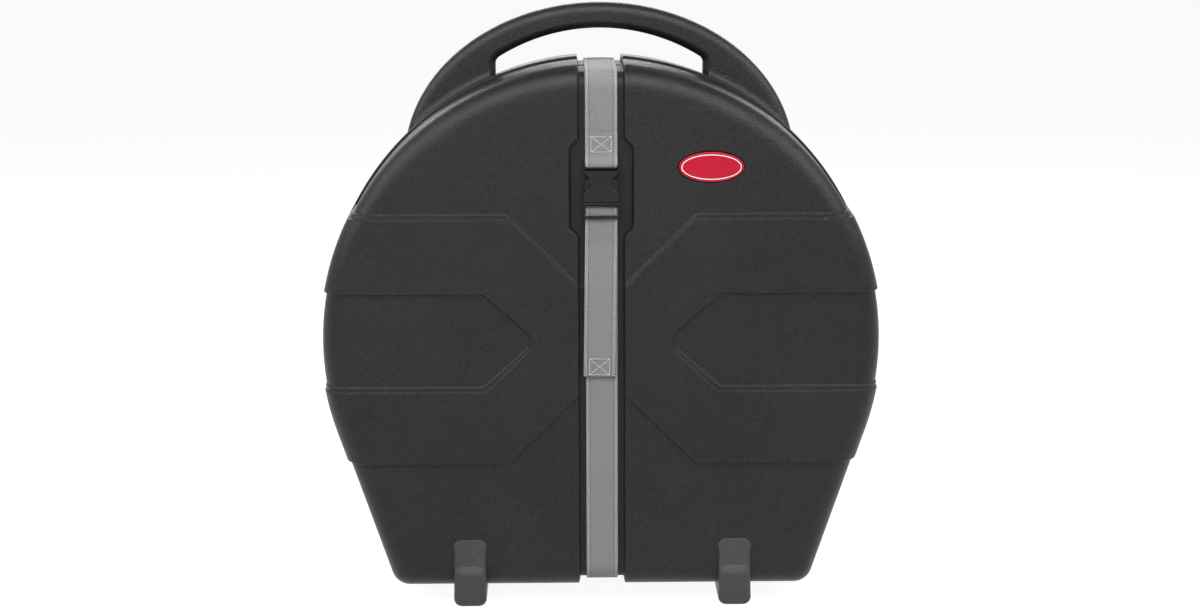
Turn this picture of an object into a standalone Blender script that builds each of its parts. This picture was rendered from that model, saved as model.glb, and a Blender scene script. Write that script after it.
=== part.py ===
"""Moulded cymbal case on two wheels, with a strap, a buckle and a threaded centre post.

Metres, +Z up. The lid faces -Y, the case stands on its feet and wheels at z = 0, and the
origin lies under the middle of the whole object's box.
"""
import math

import bmesh
import bpy
from mathutils import Matrix, Vector

# Clearance that touching pieces keep
GAP = 0.0003
WELD = 0.000005

# Body outline: a round top with tangent tapered sides and a flat bottom
RIM_R = 0.3395
CENTRE_Z = 0.3205
TAPER = math.radians(18.7)
BODY_BOTTOM_Z = 0.0145
CORNER_R = 0.026
CORNER_LEAST = 0.003
ARC_STEPS = 44
CORNER_STEPS = 4
TURN_STEPS = 24

# Depths, front to back
LID_DEPTH = 0.095
BASE_DEPTH = 0.120
FRONT_Y = -(LID_DEPTH + BASE_DEPTH) / 2
REAR_Y = (LID_DEPTH + BASE_DEPTH) / 2
SEAM_Y = FRONT_Y + LID_DEPTH
SEAM_GAP = 0.0006

# Moulded walls
WALL = 0.005
RIM_STEP = 0.0030
DRAFT = 0.0012
SHOULDER_R = 0.022
SHOULDER_STEPS = 4

# Rim bead round the base, and the lip that the lid slips over
BEAD_WIDTH = 0.013
BEAD_RAMP = 0.0025
BEAD_EDGE = 0.0010
LIP_CLEARANCE = 0.0008
LIP_WALL = 0.0035
LIP_REACH = 0.028

# Strap channel and the wider pocket round the buckle
CHANNEL_HALF = 0.0274
CHANNEL_DEPTH = 0.008
POCKET_HALF = 0.0376
POCKET_LOW_Z = 0.463
POCKET_HIGH_Z = 0.559

# Raised band across both faces, with a pointed hollow from each side
BAND_RISE = 0.0035
BAND_LOW_Z = 0.1805
BAND_HIGH_Z = 0.4818
BAND_CORNER_X = 0.1117
HOLLOW_LOW_Z = 0.2682
HOLLOW_HIGH_Z = 0.3878
HOLLOW_CORNER_X = 0.1420
HOLLOW_TIP_X = 0.0884
HOLLOW_TIP_HALF = 0.0070
FAR = 0.45

# Feet moulded into the lid
FOOT_X = 0.1607
FOOT_WIDTH = 0.0405
FOOT_PROUD = 0.012
FOOT_TOP_Z = 0.079
FOOT_FLAT_Z = 0.041
FOOT_REACH = 0.055
FOOT_CORNER_R = 0.006
FOOT_EDGE = 0.003

# Carrying handle moulded into the base
HANDLE_TOP_Z = 0.7213
HANDLE_HALF_WIDTH = 0.2409
HANDLE_RISE = 0.196
HANDLE_Y = 0.0325
HANDLE_THICK = 0.034
HANDLE_ROUND = 0.013
GRIP_TOP_Z = 0.690
GRIP_R = 0.234
GRIP_HALF_WIDTH = 0.127
GRIP_CORNER_R = 0.010
GRIP_ROUND = 0.012
HANDLE_STEPS = 36
ROUND_STEPS = 3

# Transport wheels in wells at the bottom of the back
WHEEL_R = 0.032
WHEEL_WIDTH = 0.024
WHEEL_X = FOOT_X
WHEEL_PROUD = 0.012
WHEEL_Y = REAR_Y + WHEEL_PROUD - WHEEL_R
TYRE_THICK = 0.008
TYRE_CROWN = 0.0015
TYRE_STEPS = 36
HUB_SIDE = 0.0025
HUB_WEB = 0.006
HUB_WALL = 0.0035
HUB_BOSS_R = 0.010
WELL_CLEARANCE = 0.005
WELL_SIDE = 0.0024
AXLE_R = 0.004
AXLE_SEAT = 0.0042
AXLE_CHAMFER = 0.0008

# Webbing
STRAP_WIDTH = 0.0381
STRAP_THICK = 0.0016
TAIL_LOW_Z = 0.282
TAIL_HEM = 0.018
TAIL_LEAN = math.radians(0.8)
TAIL_SET_BACK = 0.0040
TAIL_SETTLE = ((0.0, 0.006), (0.2, 0.012), (0.8, 0.026), (1.0, 0.034))
SEWN_HIGH_Z = 0.577
LOOP_SEAT = 0.95

# Side-release buckle
SOCKET_TOP_Z = 0.5385
SOCKET_LOW_Z = 0.4945
SOCKET_HALF = 0.0218
FLANGE_HALF = 0.0222
WAIST_HALF = 0.0139
WAIST_HIGH_Z = 0.5270
LEDGE_Z = 0.5060
SOCKET_FRONT = 0.0056
SOCKET_BACK = 0.0074
BAR_R = 0.0026
BAR_SIDES = 12
FRAME_WALL = 0.0026
BUCKLE_EDGE = 0.0012
PRONG_SLOT_HALF = 0.0172
PRONG_SLOT_THICK = 0.0062
TONGUE_PLATE_LOW_Z = 0.4765
TONGUE_FLANGE = 0.0036
TONGUE_SET_BACK = 0.001
LADDER_TEETH_R = 0.0016
ARM_THICK = 0.0030
ARM_WIDTH = 0.0054
ARM_X = 0.0138
ARM_TOP_Z = 0.5215
PAD_HALF = 0.0204
PAD_FLAT = 0.006
PAD_HEIGHT = 0.011
PAD_TAPER = 0.002
ARM_TAPER = 0.0004
GUIDE_HALF = 0.0030
GUIDE_TOP_Z = 0.5180

# Badge
BADGE_X = 0.1299
BADGE_Z = 0.5352
BADGE_HALF_WIDTH = 0.0383
BADGE_HALF_HEIGHT = 0.0178
BADGE_THICK = 0.0028
BADGE_SEAT = 0.0010
BADGE_EDGE = 0.0010
BADGE_STEPS = 32

# Foam pads
FOAM_R = 0.285
FOAM_THICK = 0.022
FOAM_HOLE_R = 0.046

# Centre post and what is on it
POST_R = 0.004
POST_TIP_Y = -0.048
POST_CHAMFER = 0.0012
PLATE_SIZE = 0.054
PLATE_THICK = 0.003
PLATE_CORNER = 0.008
PLATE_COLLAR_R = 0.009
PLATE_COLLAR = 0.008
SCREW_PITCH_HALF = 0.019
SCREW_R = 0.002
SCREW_SIDES = 12
SCREW_HEAD_R = 0.0042
SCREW_HEAD = 0.0022
SCREW_GRIP = 0.007
SCREW_POINT = 0.0015
PILOT_DEPTH = 0.0042
FELT_R = 0.020
FELT_THICK = 0.006
CUP_R = 0.019
CUP_THICK = 0.002
CUP_RISE = 0.004
WASHER_BOSS = 0.55
NUT_BACK_Y = -0.030
NUT_R = 0.0085
NUT_LENGTH = 0.012
WING_REACH = 0.024
WING_RISE = 0.015
WING_THICK = 0.0035
WING_ROOT_LOW = 0.002
WING_ROOT_HIGH = 0.010
WING_TIP_LOW = 0.012
WING_TIP_LENGTH = 0.007


# Scene helpers

def clear_scene():
    """Remove what the new file starts with."""
    for obj in list(bpy.data.objects):
        bpy.data.objects.remove(obj, do_unlink=True)


def new_collection(name):
    """Make a collection and link it to the scene."""
    collection = bpy.data.collections.new(name)
    bpy.context.scene.collection.children.link(collection)
    return collection


def mesh_object(name, mesh, collection):
    """Put a mesh in the scene as an object."""
    obj = bpy.data.objects.new(name, mesh)
    collection.objects.link(obj)
    return obj


def from_bmesh(name, bm):
    """Turn a bmesh into a cutter-collection object with its faces pointing out."""
    bmesh.ops.recalc_face_normals(bm, faces=bm.faces[:])
    mesh = bpy.data.meshes.new(name)
    bm.to_mesh(mesh)
    bm.free()
    obj = mesh_object(name, mesh, WORK)
    obj.hide_render = True
    obj.display_type = "WIRE"
    return obj


def baked(obj):
    """Replace an object's mesh with its evaluated one and drop the modifiers."""
    graph = bpy.context.evaluated_depsgraph_get()
    mesh = bpy.data.meshes.new_from_object(obj.evaluated_get(graph))
    old = obj.data
    obj.modifiers.clear()
    obj.data = mesh
    bpy.data.meshes.remove(old)
    return obj


def weld(obj):
    """Merge the near-coincident points that a cut leaves behind."""
    bm = bmesh.new()
    bm.from_mesh(obj.data)
    bmesh.ops.remove_doubles(bm, verts=bm.verts[:], dist=WELD)
    bmesh.ops.dissolve_degenerate(bm, edges=bm.edges[:], dist=WELD)
    bm.to_mesh(obj.data)
    bm.free()


def combine(target, tool, operation):
    """Join, cut or intersect the target with a tool, which is used up."""
    boolean = target.modifiers.new(operation.lower(), "BOOLEAN")
    boolean.operation = operation
    boolean.solver = "EXACT"
    boolean.object = tool
    baked(target)
    weld(target)
    mesh = tool.data
    bpy.data.objects.remove(tool, do_unlink=True)
    bpy.data.meshes.remove(mesh)
    return target


def gather(name, tools):
    """Put tools that don't touch into one object, so that a single cut uses them all."""
    bm = bmesh.new()
    for tool in tools:
        bm.from_mesh(tool.data)
        mesh = tool.data
        bpy.data.objects.remove(tool, do_unlink=True)
        bpy.data.meshes.remove(mesh)
    return from_bmesh(name, bm)


def loft(name, rings):
    """Skin a closed solid over rings of equal point counts."""
    bm = bmesh.new()
    loops = [[bm.verts.new(point) for point in ring] for ring in rings]
    count = len(loops[0])
    for near, far in zip(loops, loops[1:]):
        for i in range(count):
            j = (i + 1) % count
            bm.faces.new((near[i], near[j], far[j], far[i]))
    bm.faces.new(loops[0])
    bm.faces.new(loops[-1])
    return from_bmesh(name, bm)


def box(name, low, high):
    """A plain box between two corners."""
    bm = bmesh.new()
    bmesh.ops.create_cube(bm, size=1.0)
    low, high = Vector(low), Vector(high)
    size = high - low
    bmesh.ops.scale(bm, vec=size, verts=bm.verts[:])
    bmesh.ops.translate(bm, vec=(low + high) / 2, verts=bm.verts[:])
    return from_bmesh(name, bm)


def rod(name, start, end, radius, sides=TURN_STEPS):
    """A cylinder from one point to another."""
    start, end = Vector(start), Vector(end)
    bm = bmesh.new()
    bmesh.ops.create_cone(bm, cap_ends=True, segments=sides, radius1=radius, radius2=radius,
                          depth=(end - start).length)
    turn = Vector((0, 0, 1)).rotation_difference(end - start).to_matrix().to_4x4()
    bmesh.ops.transform(bm, matrix=Matrix.Translation((start + end) / 2) @ turn,
                        verts=bm.verts[:])
    return from_bmesh(name, bm)


def turned(name, profile, steps, closed=False):
    """Turn a profile of (radius, height) points about Z with a Screw modifier."""
    mesh = bpy.data.meshes.new(name)
    count = len(profile)
    edges = [(i, i + 1) for i in range(count - 1)]
    if closed:
        edges.append((count - 1, 0))
    mesh.from_pydata([(r, 0, h) for r, h in profile], edges, [])
    obj = mesh_object(name, mesh, WORK)
    screw = obj.modifiers.new("turn", "SCREW")
    screw.steps = steps
    screw.render_steps = steps
    screw.use_merge_vertices = True
    screw.merge_threshold = 0.00001
    baked(obj)
    bm = bmesh.new()
    bm.from_mesh(obj.data)
    bmesh.ops.recalc_face_normals(bm, faces=bm.faces[:])
    bm.to_mesh(obj.data)
    bm.free()
    return obj


def grown(points, distance):
    """Offset a counter-clockwise outline outwards, with mitred corners."""
    result = []
    count = len(points)
    for i, (x, z) in enumerate(points):
        before = Vector(points[i - 1])
        here = Vector((x, z))
        after = Vector(points[(i + 1) % count])
        first = (here - before).normalized()
        second = (after - here).normalized()
        normal_a = Vector((first.y, -first.x))
        normal_b = Vector((second.y, -second.x))
        mitre = (normal_a + normal_b) / (1 + normal_a.dot(normal_b))
        moved = here + mitre * distance
        result.append((moved.x, moved.y))
    return result


def upright(points, y):
    """Stand a flat outline of (x, z) points up at one depth."""
    return [(x, y, z) for x, z in points]


def arc(centre, radius, start, end, steps):
    """Points along an arc, both ends included, angles in radians from +X towards +Z."""
    points = []
    for i in range(steps + 1):
        angle = start + (end - start) * i / steps
        points.append((centre[0] + radius * math.cos(angle),
                       centre[1] + radius * math.sin(angle)))
    return points


def rounded_plate(name, outline, low_y, high_y, radius):
    """An outline given depth, with its edges rounded in, or flared out for a cutter."""
    rings = []
    for i in range(ROUND_STEPS + 1):
        angle = math.pi / 2 * i / ROUND_STEPS
        drop = radius * (1 - math.sin(angle))
        shift = abs(radius) * (1 - math.cos(angle))
        rings.append(upright(grown(outline, -drop), low_y + shift))
    for i in range(ROUND_STEPS + 1):
        angle = math.pi / 2 * (1 - i / ROUND_STEPS)
        drop = radius * (1 - math.sin(angle))
        shift = abs(radius) * (1 - math.cos(angle))
        rings.append(upright(grown(outline, -drop), high_y - shift))
    return loft(name, rings)


def strip(name, path, thick, half_width, centre_x=0.0):
    """Webbing: a path of (y, z) points given thickness to one side and width across X."""
    inner = [Vector(point) for point in path]
    outer = []
    for i, here in enumerate(inner):
        before = inner[max(i - 1, 0)]
        after = inner[min(i + 1, len(inner) - 1)]
        along = (after - before).normalized()
        outer.append(here + Vector((-along.y, along.x)) * thick)
    outline = inner + outer[::-1]
    rings = []
    for x in (centre_x - half_width, centre_x + half_width):
        rings.append([(x, point.x, point.y) for point in outline])
    return loft(name, rings)


# The case body

def body_outline(inset):
    """The case outline, set in from the rim by a distance."""
    radius = RIM_R - inset
    corner = max(CORNER_R - inset, CORNER_LEAST)
    centre_z = BODY_BOTTOM_Z + inset + corner
    centre_x = radius - corner + (centre_z - CENTRE_Z) * math.sin(TAPER)
    centre_x /= math.cos(TAPER)
    points = arc((0, CENTRE_Z), radius, -TAPER, math.pi + TAPER, ARC_STEPS)
    points += arc((-centre_x, centre_z), corner, math.pi + TAPER, 1.5 * math.pi, CORNER_STEPS)
    points += arc((centre_x, centre_z), corner, -math.pi / 2, -TAPER, CORNER_STEPS)
    return points


def block(name, inset):
    """The whole closed body without its details, drafted and with round shoulders."""
    shoulder = SHOULDER_R - inset
    rings = []
    for i in range(SHOULDER_STEPS + 1):
        angle = math.pi / 2 * i / SHOULDER_STEPS
        in_by = inset + RIM_STEP + DRAFT + shoulder * (1 - math.sin(angle))
        rings.append(upright(body_outline(in_by),
                             FRONT_Y + inset + shoulder * (1 - math.cos(angle))))
    rings.append(upright(body_outline(inset + RIM_STEP), SEAM_Y))
    for i in range(SHOULDER_STEPS + 1):
        angle = math.pi / 2 * (1 - i / SHOULDER_STEPS)
        in_by = inset + RIM_STEP + DRAFT + shoulder * (1 - math.sin(angle))
        rings.append(upright(body_outline(in_by),
                             REAR_Y - inset - shoulder * (1 - math.cos(angle))))
    return loft(name, rings)


def band_outline():
    """Half-turned X: wide at both sides, narrow at the channel, with two pointed hollows."""
    slope = BAND_CORNER_X - CHANNEL_HALF
    middle = (HOLLOW_LOW_Z + HOLLOW_HIGH_Z) / 2
    right = [
        (CHANNEL_HALF, BAND_LOW_Z + slope),
        (BAND_CORNER_X, BAND_LOW_Z),
        (FAR, BAND_LOW_Z),
        (FAR, HOLLOW_LOW_Z),
        (HOLLOW_CORNER_X, HOLLOW_LOW_Z),
        (HOLLOW_TIP_X, middle - HOLLOW_TIP_HALF),
        (HOLLOW_TIP_X, middle + HOLLOW_TIP_HALF),
        (HOLLOW_CORNER_X, HOLLOW_HIGH_Z),
        (FAR, HOLLOW_HIGH_Z),
        (FAR, BAND_HIGH_Z),
        (BAND_CORNER_X, BAND_HIGH_Z),
        (CHANNEL_HALF, BAND_HIGH_Z - slope),
    ]
    return right + [(-x, z) for x, z in reversed(right)]


def band_prism(inset):
    """The band's outline through the whole depth, with its edges ramped on both faces."""
    full = grown(band_outline(), -inset)
    ramped = grown(band_outline(), -inset - BAND_RISE)
    spread = BAND_RISE - inset
    return loft("band_prism", [
        upright(ramped, FRONT_Y - spread),
        upright(full, FRONT_Y + inset),
        upright(full, REAR_Y - inset),
        upright(ramped, REAR_Y + spread),
    ])


def raised_band(inset):
    """The raised band, as a slice of a slightly larger body."""
    return combine(block("raised_band", inset - BAND_RISE), band_prism(inset), "INTERSECT")


def rim_bead():
    """The bead that stands out round the base at the seam, open where the channel crosses."""
    start = SEAM_Y + SEAM_GAP
    ring = loft("rim_bead", [
        upright(body_outline(BEAD_EDGE), start),
        upright(body_outline(0), start + BEAD_EDGE),
        upright(body_outline(0), start + BEAD_WIDTH - BEAD_RAMP),
        upright(body_outline(RIM_STEP + DRAFT), start + BEAD_WIDTH),
    ])
    combine(ring, channel_slab(0), "DIFFERENCE")
    return combine(ring, block("bead_inside", WALL / 2), "DIFFERENCE")


def foot_ring(centre_x, half, low_z, high_z, y):
    """A rounded rectangle seen from the front."""
    corner = FOOT_CORNER_R
    points = []
    points += arc((centre_x + half - corner, high_z - corner), corner, 0, math.pi / 2, 2)
    points += arc((centre_x - half + corner, high_z - corner), corner,
                  math.pi / 2, math.pi, 2)
    points += arc((centre_x - half + corner, low_z + corner), corner,
                  math.pi, 1.5 * math.pi, 2)
    points += arc((centre_x + half - corner, low_z + corner), corner,
                  -math.pi / 2, 0, 2)
    return upright(points, y)


def foot(side, inset):
    """One front foot: it slopes out of the face and runs back under the lid."""
    half = FOOT_WIDTH / 2 - inset
    nose_y = FRONT_Y - FOOT_PROUD + inset
    rise = (FOOT_TOP_Z - FOOT_FLAT_Z) / FOOT_PROUD
    return loft("foot", [
        foot_ring(side * FOOT_X, half - FOOT_EDGE, inset + FOOT_EDGE,
                  FOOT_FLAT_Z - inset, nose_y),
        foot_ring(side * FOOT_X, half, inset, FOOT_FLAT_Z - inset + FOOT_EDGE * rise,
                  nose_y + FOOT_EDGE),
        foot_ring(side * FOOT_X, half, inset, FOOT_TOP_Z - inset, nose_y + FOOT_PROUD + GAP),
        foot_ring(side * FOOT_X, half, inset, FOOT_TOP_Z - inset,
                  FRONT_Y + FOOT_REACH - inset),
    ])


def buckle_pocket(inset):
    """The wider part of the channel round the buckle."""
    flare = POCKET_HALF - CHANNEL_HALF
    outline = [
        (CHANNEL_HALF, POCKET_LOW_Z - flare),
        (POCKET_HALF, POCKET_LOW_Z),
        (POCKET_HALF, POCKET_HIGH_Z),
        (CHANNEL_HALF, POCKET_HIGH_Z + flare),
        (-CHANNEL_HALF, POCKET_HIGH_Z + flare),
        (-POCKET_HALF, POCKET_HIGH_Z),
        (-POCKET_HALF, POCKET_LOW_Z),
        (-CHANNEL_HALF, POCKET_LOW_Z - flare),
    ]
    outline = grown(outline, inset)
    return loft("buckle_pocket", [upright(outline, FRONT_Y - FAR),
                                  upright(outline, FRONT_Y + 3 * CHANNEL_DEPTH)])


def wheel_well(side, inset):
    """The space for one wheel, open to the back and to the floor."""
    radius = WHEEL_R + WELL_CLEARANCE + inset
    half = well_half() + inset
    outline = arc((WHEEL_Y, WHEEL_R), radius, math.pi, math.pi / 2, 8)
    outline += [(FAR, WHEEL_R + radius), (FAR, -FAR), (WHEEL_Y - radius, -FAR)]
    rings = []
    for x in (side * WHEEL_X - half, side * WHEEL_X + half):
        rings.append([(x, y, z) for y, z in outline])
    return loft("wheel_well", rings)


def channel_slab(inset):
    """Everything over the strap channel's width."""
    half = CHANNEL_HALF + inset
    return box("channel", (-half, -FAR, -FAR), (half, FAR, 2 * FAR))


def case_form(name, inset):
    """The whole closed case with every moulded feature, set in by a distance."""
    form = block(name, inset)
    combine(form, raised_band(inset), "UNION")
    for side in (-1, 1):
        combine(form, foot(side, inset), "UNION")
    combine(form, channel_slab(inset), "DIFFERENCE")
    combine(form, buckle_pocket(inset), "DIFFERENCE")
    combine(form, block("channel_floor", inset + CHANNEL_DEPTH), "UNION")
    for side in (-1, 1):
        combine(form, wheel_well(side, inset), "DIFFERENCE")
    return form


def half_space(name, low_y, high_y):
    """A large box that keeps only a range of depths."""
    return box(name, (-2 * FAR, low_y, -2 * FAR), (2 * FAR, high_y, 3 * FAR))


def handle():
    """The carrying handle: a crescent with a grip opening, all edges rounded."""
    centre_z = HANDLE_TOP_Z - HANDLE_RISE
    outline = []
    for i in range(HANDLE_STEPS + 1):
        angle = math.pi * i / HANDLE_STEPS
        outline.append((HANDLE_HALF_WIDTH * math.cos(angle),
                        centre_z + HANDLE_RISE * math.sin(angle)))
    low_y = HANDLE_Y - HANDLE_THICK / 2
    high_y = HANDLE_Y + HANDLE_THICK / 2
    solid = rounded_plate("handle", outline, low_y, high_y, HANDLE_ROUND)
    grip_z = GRIP_TOP_Z - GRIP_R
    corner_x = GRIP_HALF_WIDTH - GRIP_CORNER_R
    reach = math.acos(corner_x / (GRIP_R - GRIP_CORNER_R))
    corner_z = grip_z + (GRIP_R - GRIP_CORNER_R) * math.sin(reach)
    opening = [(GRIP_HALF_WIDTH, CENTRE_Z)]
    opening += arc((corner_x, corner_z), GRIP_CORNER_R, 0, reach, 3)
    opening += arc((0, grip_z), GRIP_R, reach, math.pi - reach, 18)[1:-1]
    opening += arc((-corner_x, corner_z), GRIP_CORNER_R, math.pi - reach, math.pi, 3)
    opening += [(-GRIP_HALF_WIDTH, CENTRE_Z)]
    cutter = rounded_plate("grip", opening, low_y - GAP, high_y + GAP, -GRIP_ROUND)
    return combine(solid, cutter, "DIFFERENCE")


def lip_plug():
    """The solid that fills the lid's edge, from which the base's thin lip is hollowed."""
    plug = case_form("lip_plug", WALL + LIP_CLEARANCE)
    return combine(plug, half_space("lip_span", SEAM_Y - LIP_REACH, SEAM_Y + WALL), "INTERSECT")


def base_cavity():
    """The hollow of the base behind the thick ring that carries the lip."""
    cavity = case_form("cavity", WALL)
    return combine(cavity, half_space("cavity_span", SEAM_Y + 2 * WALL, FAR), "INTERSECT")


def axle_seats():
    """Cutters for the blind seats of both axles."""
    half = well_half() + AXLE_SEAT + GAP
    return [rod("axle_seat", (side * WHEEL_X - half, WHEEL_Y, WHEEL_R),
                (side * WHEEL_X + half, WHEEL_Y, WHEEL_R), AXLE_R + GAP)
            for side in (-1, 1)]


def screw_pilots():
    """Cutters for the four blind holes that the post's screws go into."""
    return [rod("pilot", (x, ridge_y() + PILOT_DEPTH, z), (x, plate_front_y(), z),
                SCREW_R + GAP, SCREW_SIDES)
            for x, z in screw_places()]


def rear_shell():
    """The base of the case, with the handle, bead, lip and wheel wells."""
    shell = case_form("rear_shell", 0)
    combine(shell, handle(), "UNION")
    combine(shell, half_space("rear_half", SEAM_Y + SEAM_GAP, FAR), "INTERSECT")
    combine(shell, lip_plug(), "UNION")
    combine(shell, base_cavity(), "DIFFERENCE")
    combine(shell, case_form("lip_inside", WALL + LIP_CLEARANCE + LIP_WALL), "DIFFERENCE")
    combine(shell, rim_bead(), "UNION")
    return combine(shell, gather("holes", axle_seats() + screw_pilots()), "DIFFERENCE")


def lid_shell():
    """The front half of the case."""
    shell = case_form("lid_shell", 0)
    combine(shell, case_form("cavity", WALL), "DIFFERENCE")
    combine(shell, half_space("front_half", -FAR, SEAM_Y), "INTERSECT")
    seat = badge_disc("badge_seat", GAP, BADGE_SEAT, BADGE_THICK)
    return combine(shell, seat, "DIFFERENCE")


# Badge

def badge_disc(name, grow, sink, rise):
    """An oval disc on the lid's face, sunk by one distance and proud by another."""
    rings = []
    outline = []
    for i in range(BADGE_STEPS):
        angle = 2 * math.pi * i / BADGE_STEPS
        outline.append((BADGE_X + (BADGE_HALF_WIDTH + grow) * math.cos(angle),
                        BADGE_Z + (BADGE_HALF_HEIGHT + grow) * math.sin(angle)))
    for y, inset in ((FRONT_Y + sink - rise, BADGE_EDGE if grow == 0 else 0),
                     (FRONT_Y + sink - rise + BADGE_EDGE, 0),
                     (FRONT_Y + sink, 0)):
        rings.append(upright(grown(outline, -inset), y))
    return loft(name, rings)


def badge_plate():
    """The bare oval badge."""
    return badge_disc("badge_plate", 0, BADGE_SEAT - GAP, BADGE_THICK)


# Webbing and buckle

def strap_ring(name):
    """Webbing all round the case on the channel floor."""
    lift = CHANNEL_DEPTH - GAP
    ring = block(name, lift - STRAP_THICK)
    combine(ring, block("strap_inside", lift), "DIFFERENCE")
    half = STRAP_WIDTH / 2
    return combine(ring, box("width", (-half, -FAR, -FAR), (half, FAR, 2 * FAR)), "INTERSECT")


def strap_rear_run():
    """The stretch over the top, down the back and under the base."""
    return combine(strap_ring("strap_rear_run"), half_space("behind", SEAM_Y + GAP, FAR), "INTERSECT")


def floor_y():
    """Depth of the webbing's back face in the front channel."""
    return FRONT_Y + CHANNEL_DEPTH - GAP


def socket_bar():
    """Depth and height of the bar that the upper webbing loops round."""
    return floor_y() - BAR_R - GAP - LOOP_SEAT * STRAP_THICK, SOCKET_TOP_Z - FRAME_WALL


def strap_upper_run():
    """The stretch over the top of the lid, sewn into a loop round the socket's bar."""
    bar_y, bar_z = socket_bar()
    run = combine(strap_ring("strap_upper_run"),
                  box("upper", (-FAR, -FAR, bar_z), (FAR, SEAM_Y - GAP, FAR * 2)), "INTERSECT")
    inner = BAR_R + GAP
    loop_thick = (2 * LOOP_SEAT - 1) * STRAP_THICK
    sewn_y = floor_y() - LOOP_SEAT * STRAP_THICK
    path = [(bar_y + inner, bar_z + BAR_R)]
    path += arc((bar_y, bar_z), inner, 0, -math.pi, 10)
    path += [(sewn_y, bar_z + 5 * inner), (sewn_y, SEWN_HIGH_Z)]
    loop = strip("loop", path, loop_thick, STRAP_WIDTH / 2 - GAP)
    return combine(run, loop, "UNION")


def ladder_bar():
    """Depth and height of the bar that the adjustable webbing turns round."""
    loop = BAR_R + GAP + STRAP_THICK
    return floor_y() - loop, (TONGUE_PLATE_LOW_Z + SOCKET_LOW_Z) / 2 - GAP


def strap_lower_run():
    """The stretch from the ladder lock down the lid and under it."""
    below = box("lower", (-FAR, -FAR, -FAR), (FAR, SEAM_Y - GAP, TONGUE_PLATE_LOW_Z - GAP))
    return combine(strap_ring("strap_lower_run"), below, "INTERSECT")


def strap_tail():
    """The free end: round the ladder bar and down over the lower stretch, with a folded hem."""
    bar_y, bar_z = ladder_bar()
    inner = BAR_R + GAP
    low_z = TONGUE_PLATE_LOW_Z
    near = bar_y - inner
    back = near + TAIL_SET_BACK
    path = [(bar_y + inner, low_z + GAP)]
    path += arc((bar_y, bar_z), inner, 0, math.pi, 10)
    path += [(near + share * TAIL_SET_BACK, low_z - drop) for share, drop in TAIL_SETTLE]
    path.append((back, TAIL_LOW_Z))
    tail = strip("strap_tail", path, -STRAP_THICK, STRAP_WIDTH / 2)
    half = STRAP_WIDTH / 2 - GAP
    hem = box("hem", (-half, back - 2 * STRAP_THICK, TAIL_LOW_Z - GAP),
              (half, back - STRAP_THICK / 2, TAIL_LOW_Z + TAIL_HEM))
    return combine(tail, hem, "UNION")


def socket_outline():
    """Front outline of the socket: flange, waist, then a wide mouth under the side windows."""
    right = [
        (SOCKET_HALF, SOCKET_LOW_Z),
        (SOCKET_HALF, LEDGE_Z),
        (WAIST_HALF, LEDGE_Z),
        (WAIST_HALF, WAIST_HIGH_Z - FRAME_WALL),
        (FLANGE_HALF, WAIST_HIGH_Z + FRAME_WALL),
        (FLANGE_HALF, SOCKET_TOP_Z),
    ]
    return right + [(-x, z) for x, z in reversed(right)]


def buckle_socket():
    """The female half: a hollow body with open sides and a webbing bar."""
    front = FRONT_Y - SOCKET_FRONT
    back = FRONT_Y + SOCKET_BACK
    solid = rounded_plate("buckle_socket", socket_outline(), front, back, BUCKLE_EDGE)
    bar_y, bar_z = socket_bar()
    middle = (front + back) / 2
    half = PRONG_SLOT_THICK / 2
    slot = box("prong_slot", (-PRONG_SLOT_HALF, middle - half, -FAR),
               (PRONG_SLOT_HALF, middle + half, WAIST_HIGH_Z - 2 * FRAME_WALL))
    combine(solid, slot, "DIFFERENCE")
    window = STRAP_WIDTH / 2 + GAP
    low = WAIST_HIGH_Z + FRAME_WALL / 2
    combine(solid, box("webbing_slot", (-window, front - GAP, low),
                       (window, back + GAP, SOCKET_TOP_Z + GAP)), "DIFFERENCE")
    return combine(solid, rod("bar", (-FLANGE_HALF + FRAME_WALL / 2, bar_y, bar_z),
                              (FLANGE_HALF - FRAME_WALL / 2, bar_y, bar_z), BAR_R, BAR_SIDES), "UNION")


def prong_y():
    """Middle depth of the socket's slot and of the prongs in it."""
    return FRONT_Y + (SOCKET_BACK - SOCKET_FRONT) / 2


def buckle_tongue():
    """The male half: a ladder lock, a flange and a guide prong."""
    bar_y, bar_z = ladder_bar()
    low_z = TONGUE_PLATE_LOW_Z
    high_z = SOCKET_LOW_Z - GAP
    front = FRONT_Y - SOCKET_FRONT + TONGUE_SET_BACK
    back = FRONT_Y + SOCKET_BACK
    outline = [(-FLANGE_HALF, low_z), (FLANGE_HALF, low_z), (FLANGE_HALF, high_z),
               (-FLANGE_HALF, high_z)]
    solid = rounded_plate("buckle_tongue", outline, front, back, BUCKLE_EDGE)
    window = STRAP_WIDTH / 2 + 2 * GAP
    combine(solid, box("ladder_window", (-window, front - GAP, low_z - GAP),
                       (window, back + GAP, high_z - TONGUE_FLANGE)), "DIFFERENCE")
    for z, radius in ((bar_z, BAR_R), (low_z + LADDER_TEETH_R + GAP, LADDER_TEETH_R)):
        combine(solid, rod("ladder", (-FLANGE_HALF + FRAME_WALL / 2, bar_y, z),
                           (FLANGE_HALF - FRAME_WALL / 2, bar_y, z), radius, BAR_SIDES),
                "UNION")
    half = ARM_WIDTH / 2
    guide = box("guide", (-GUIDE_HALF, prong_y() - half, high_z - TONGUE_FLANGE / 2),
                (GUIDE_HALF, prong_y() + half, GUIDE_TOP_Z))
    return combine(solid, guide, "UNION")


def latch_pivot(side):
    """Where a latch arm bends: at its root on the tongue's flange."""
    return Vector((side * ARM_X, prong_y(), SOCKET_LOW_Z + 2 * GAP))


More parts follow.
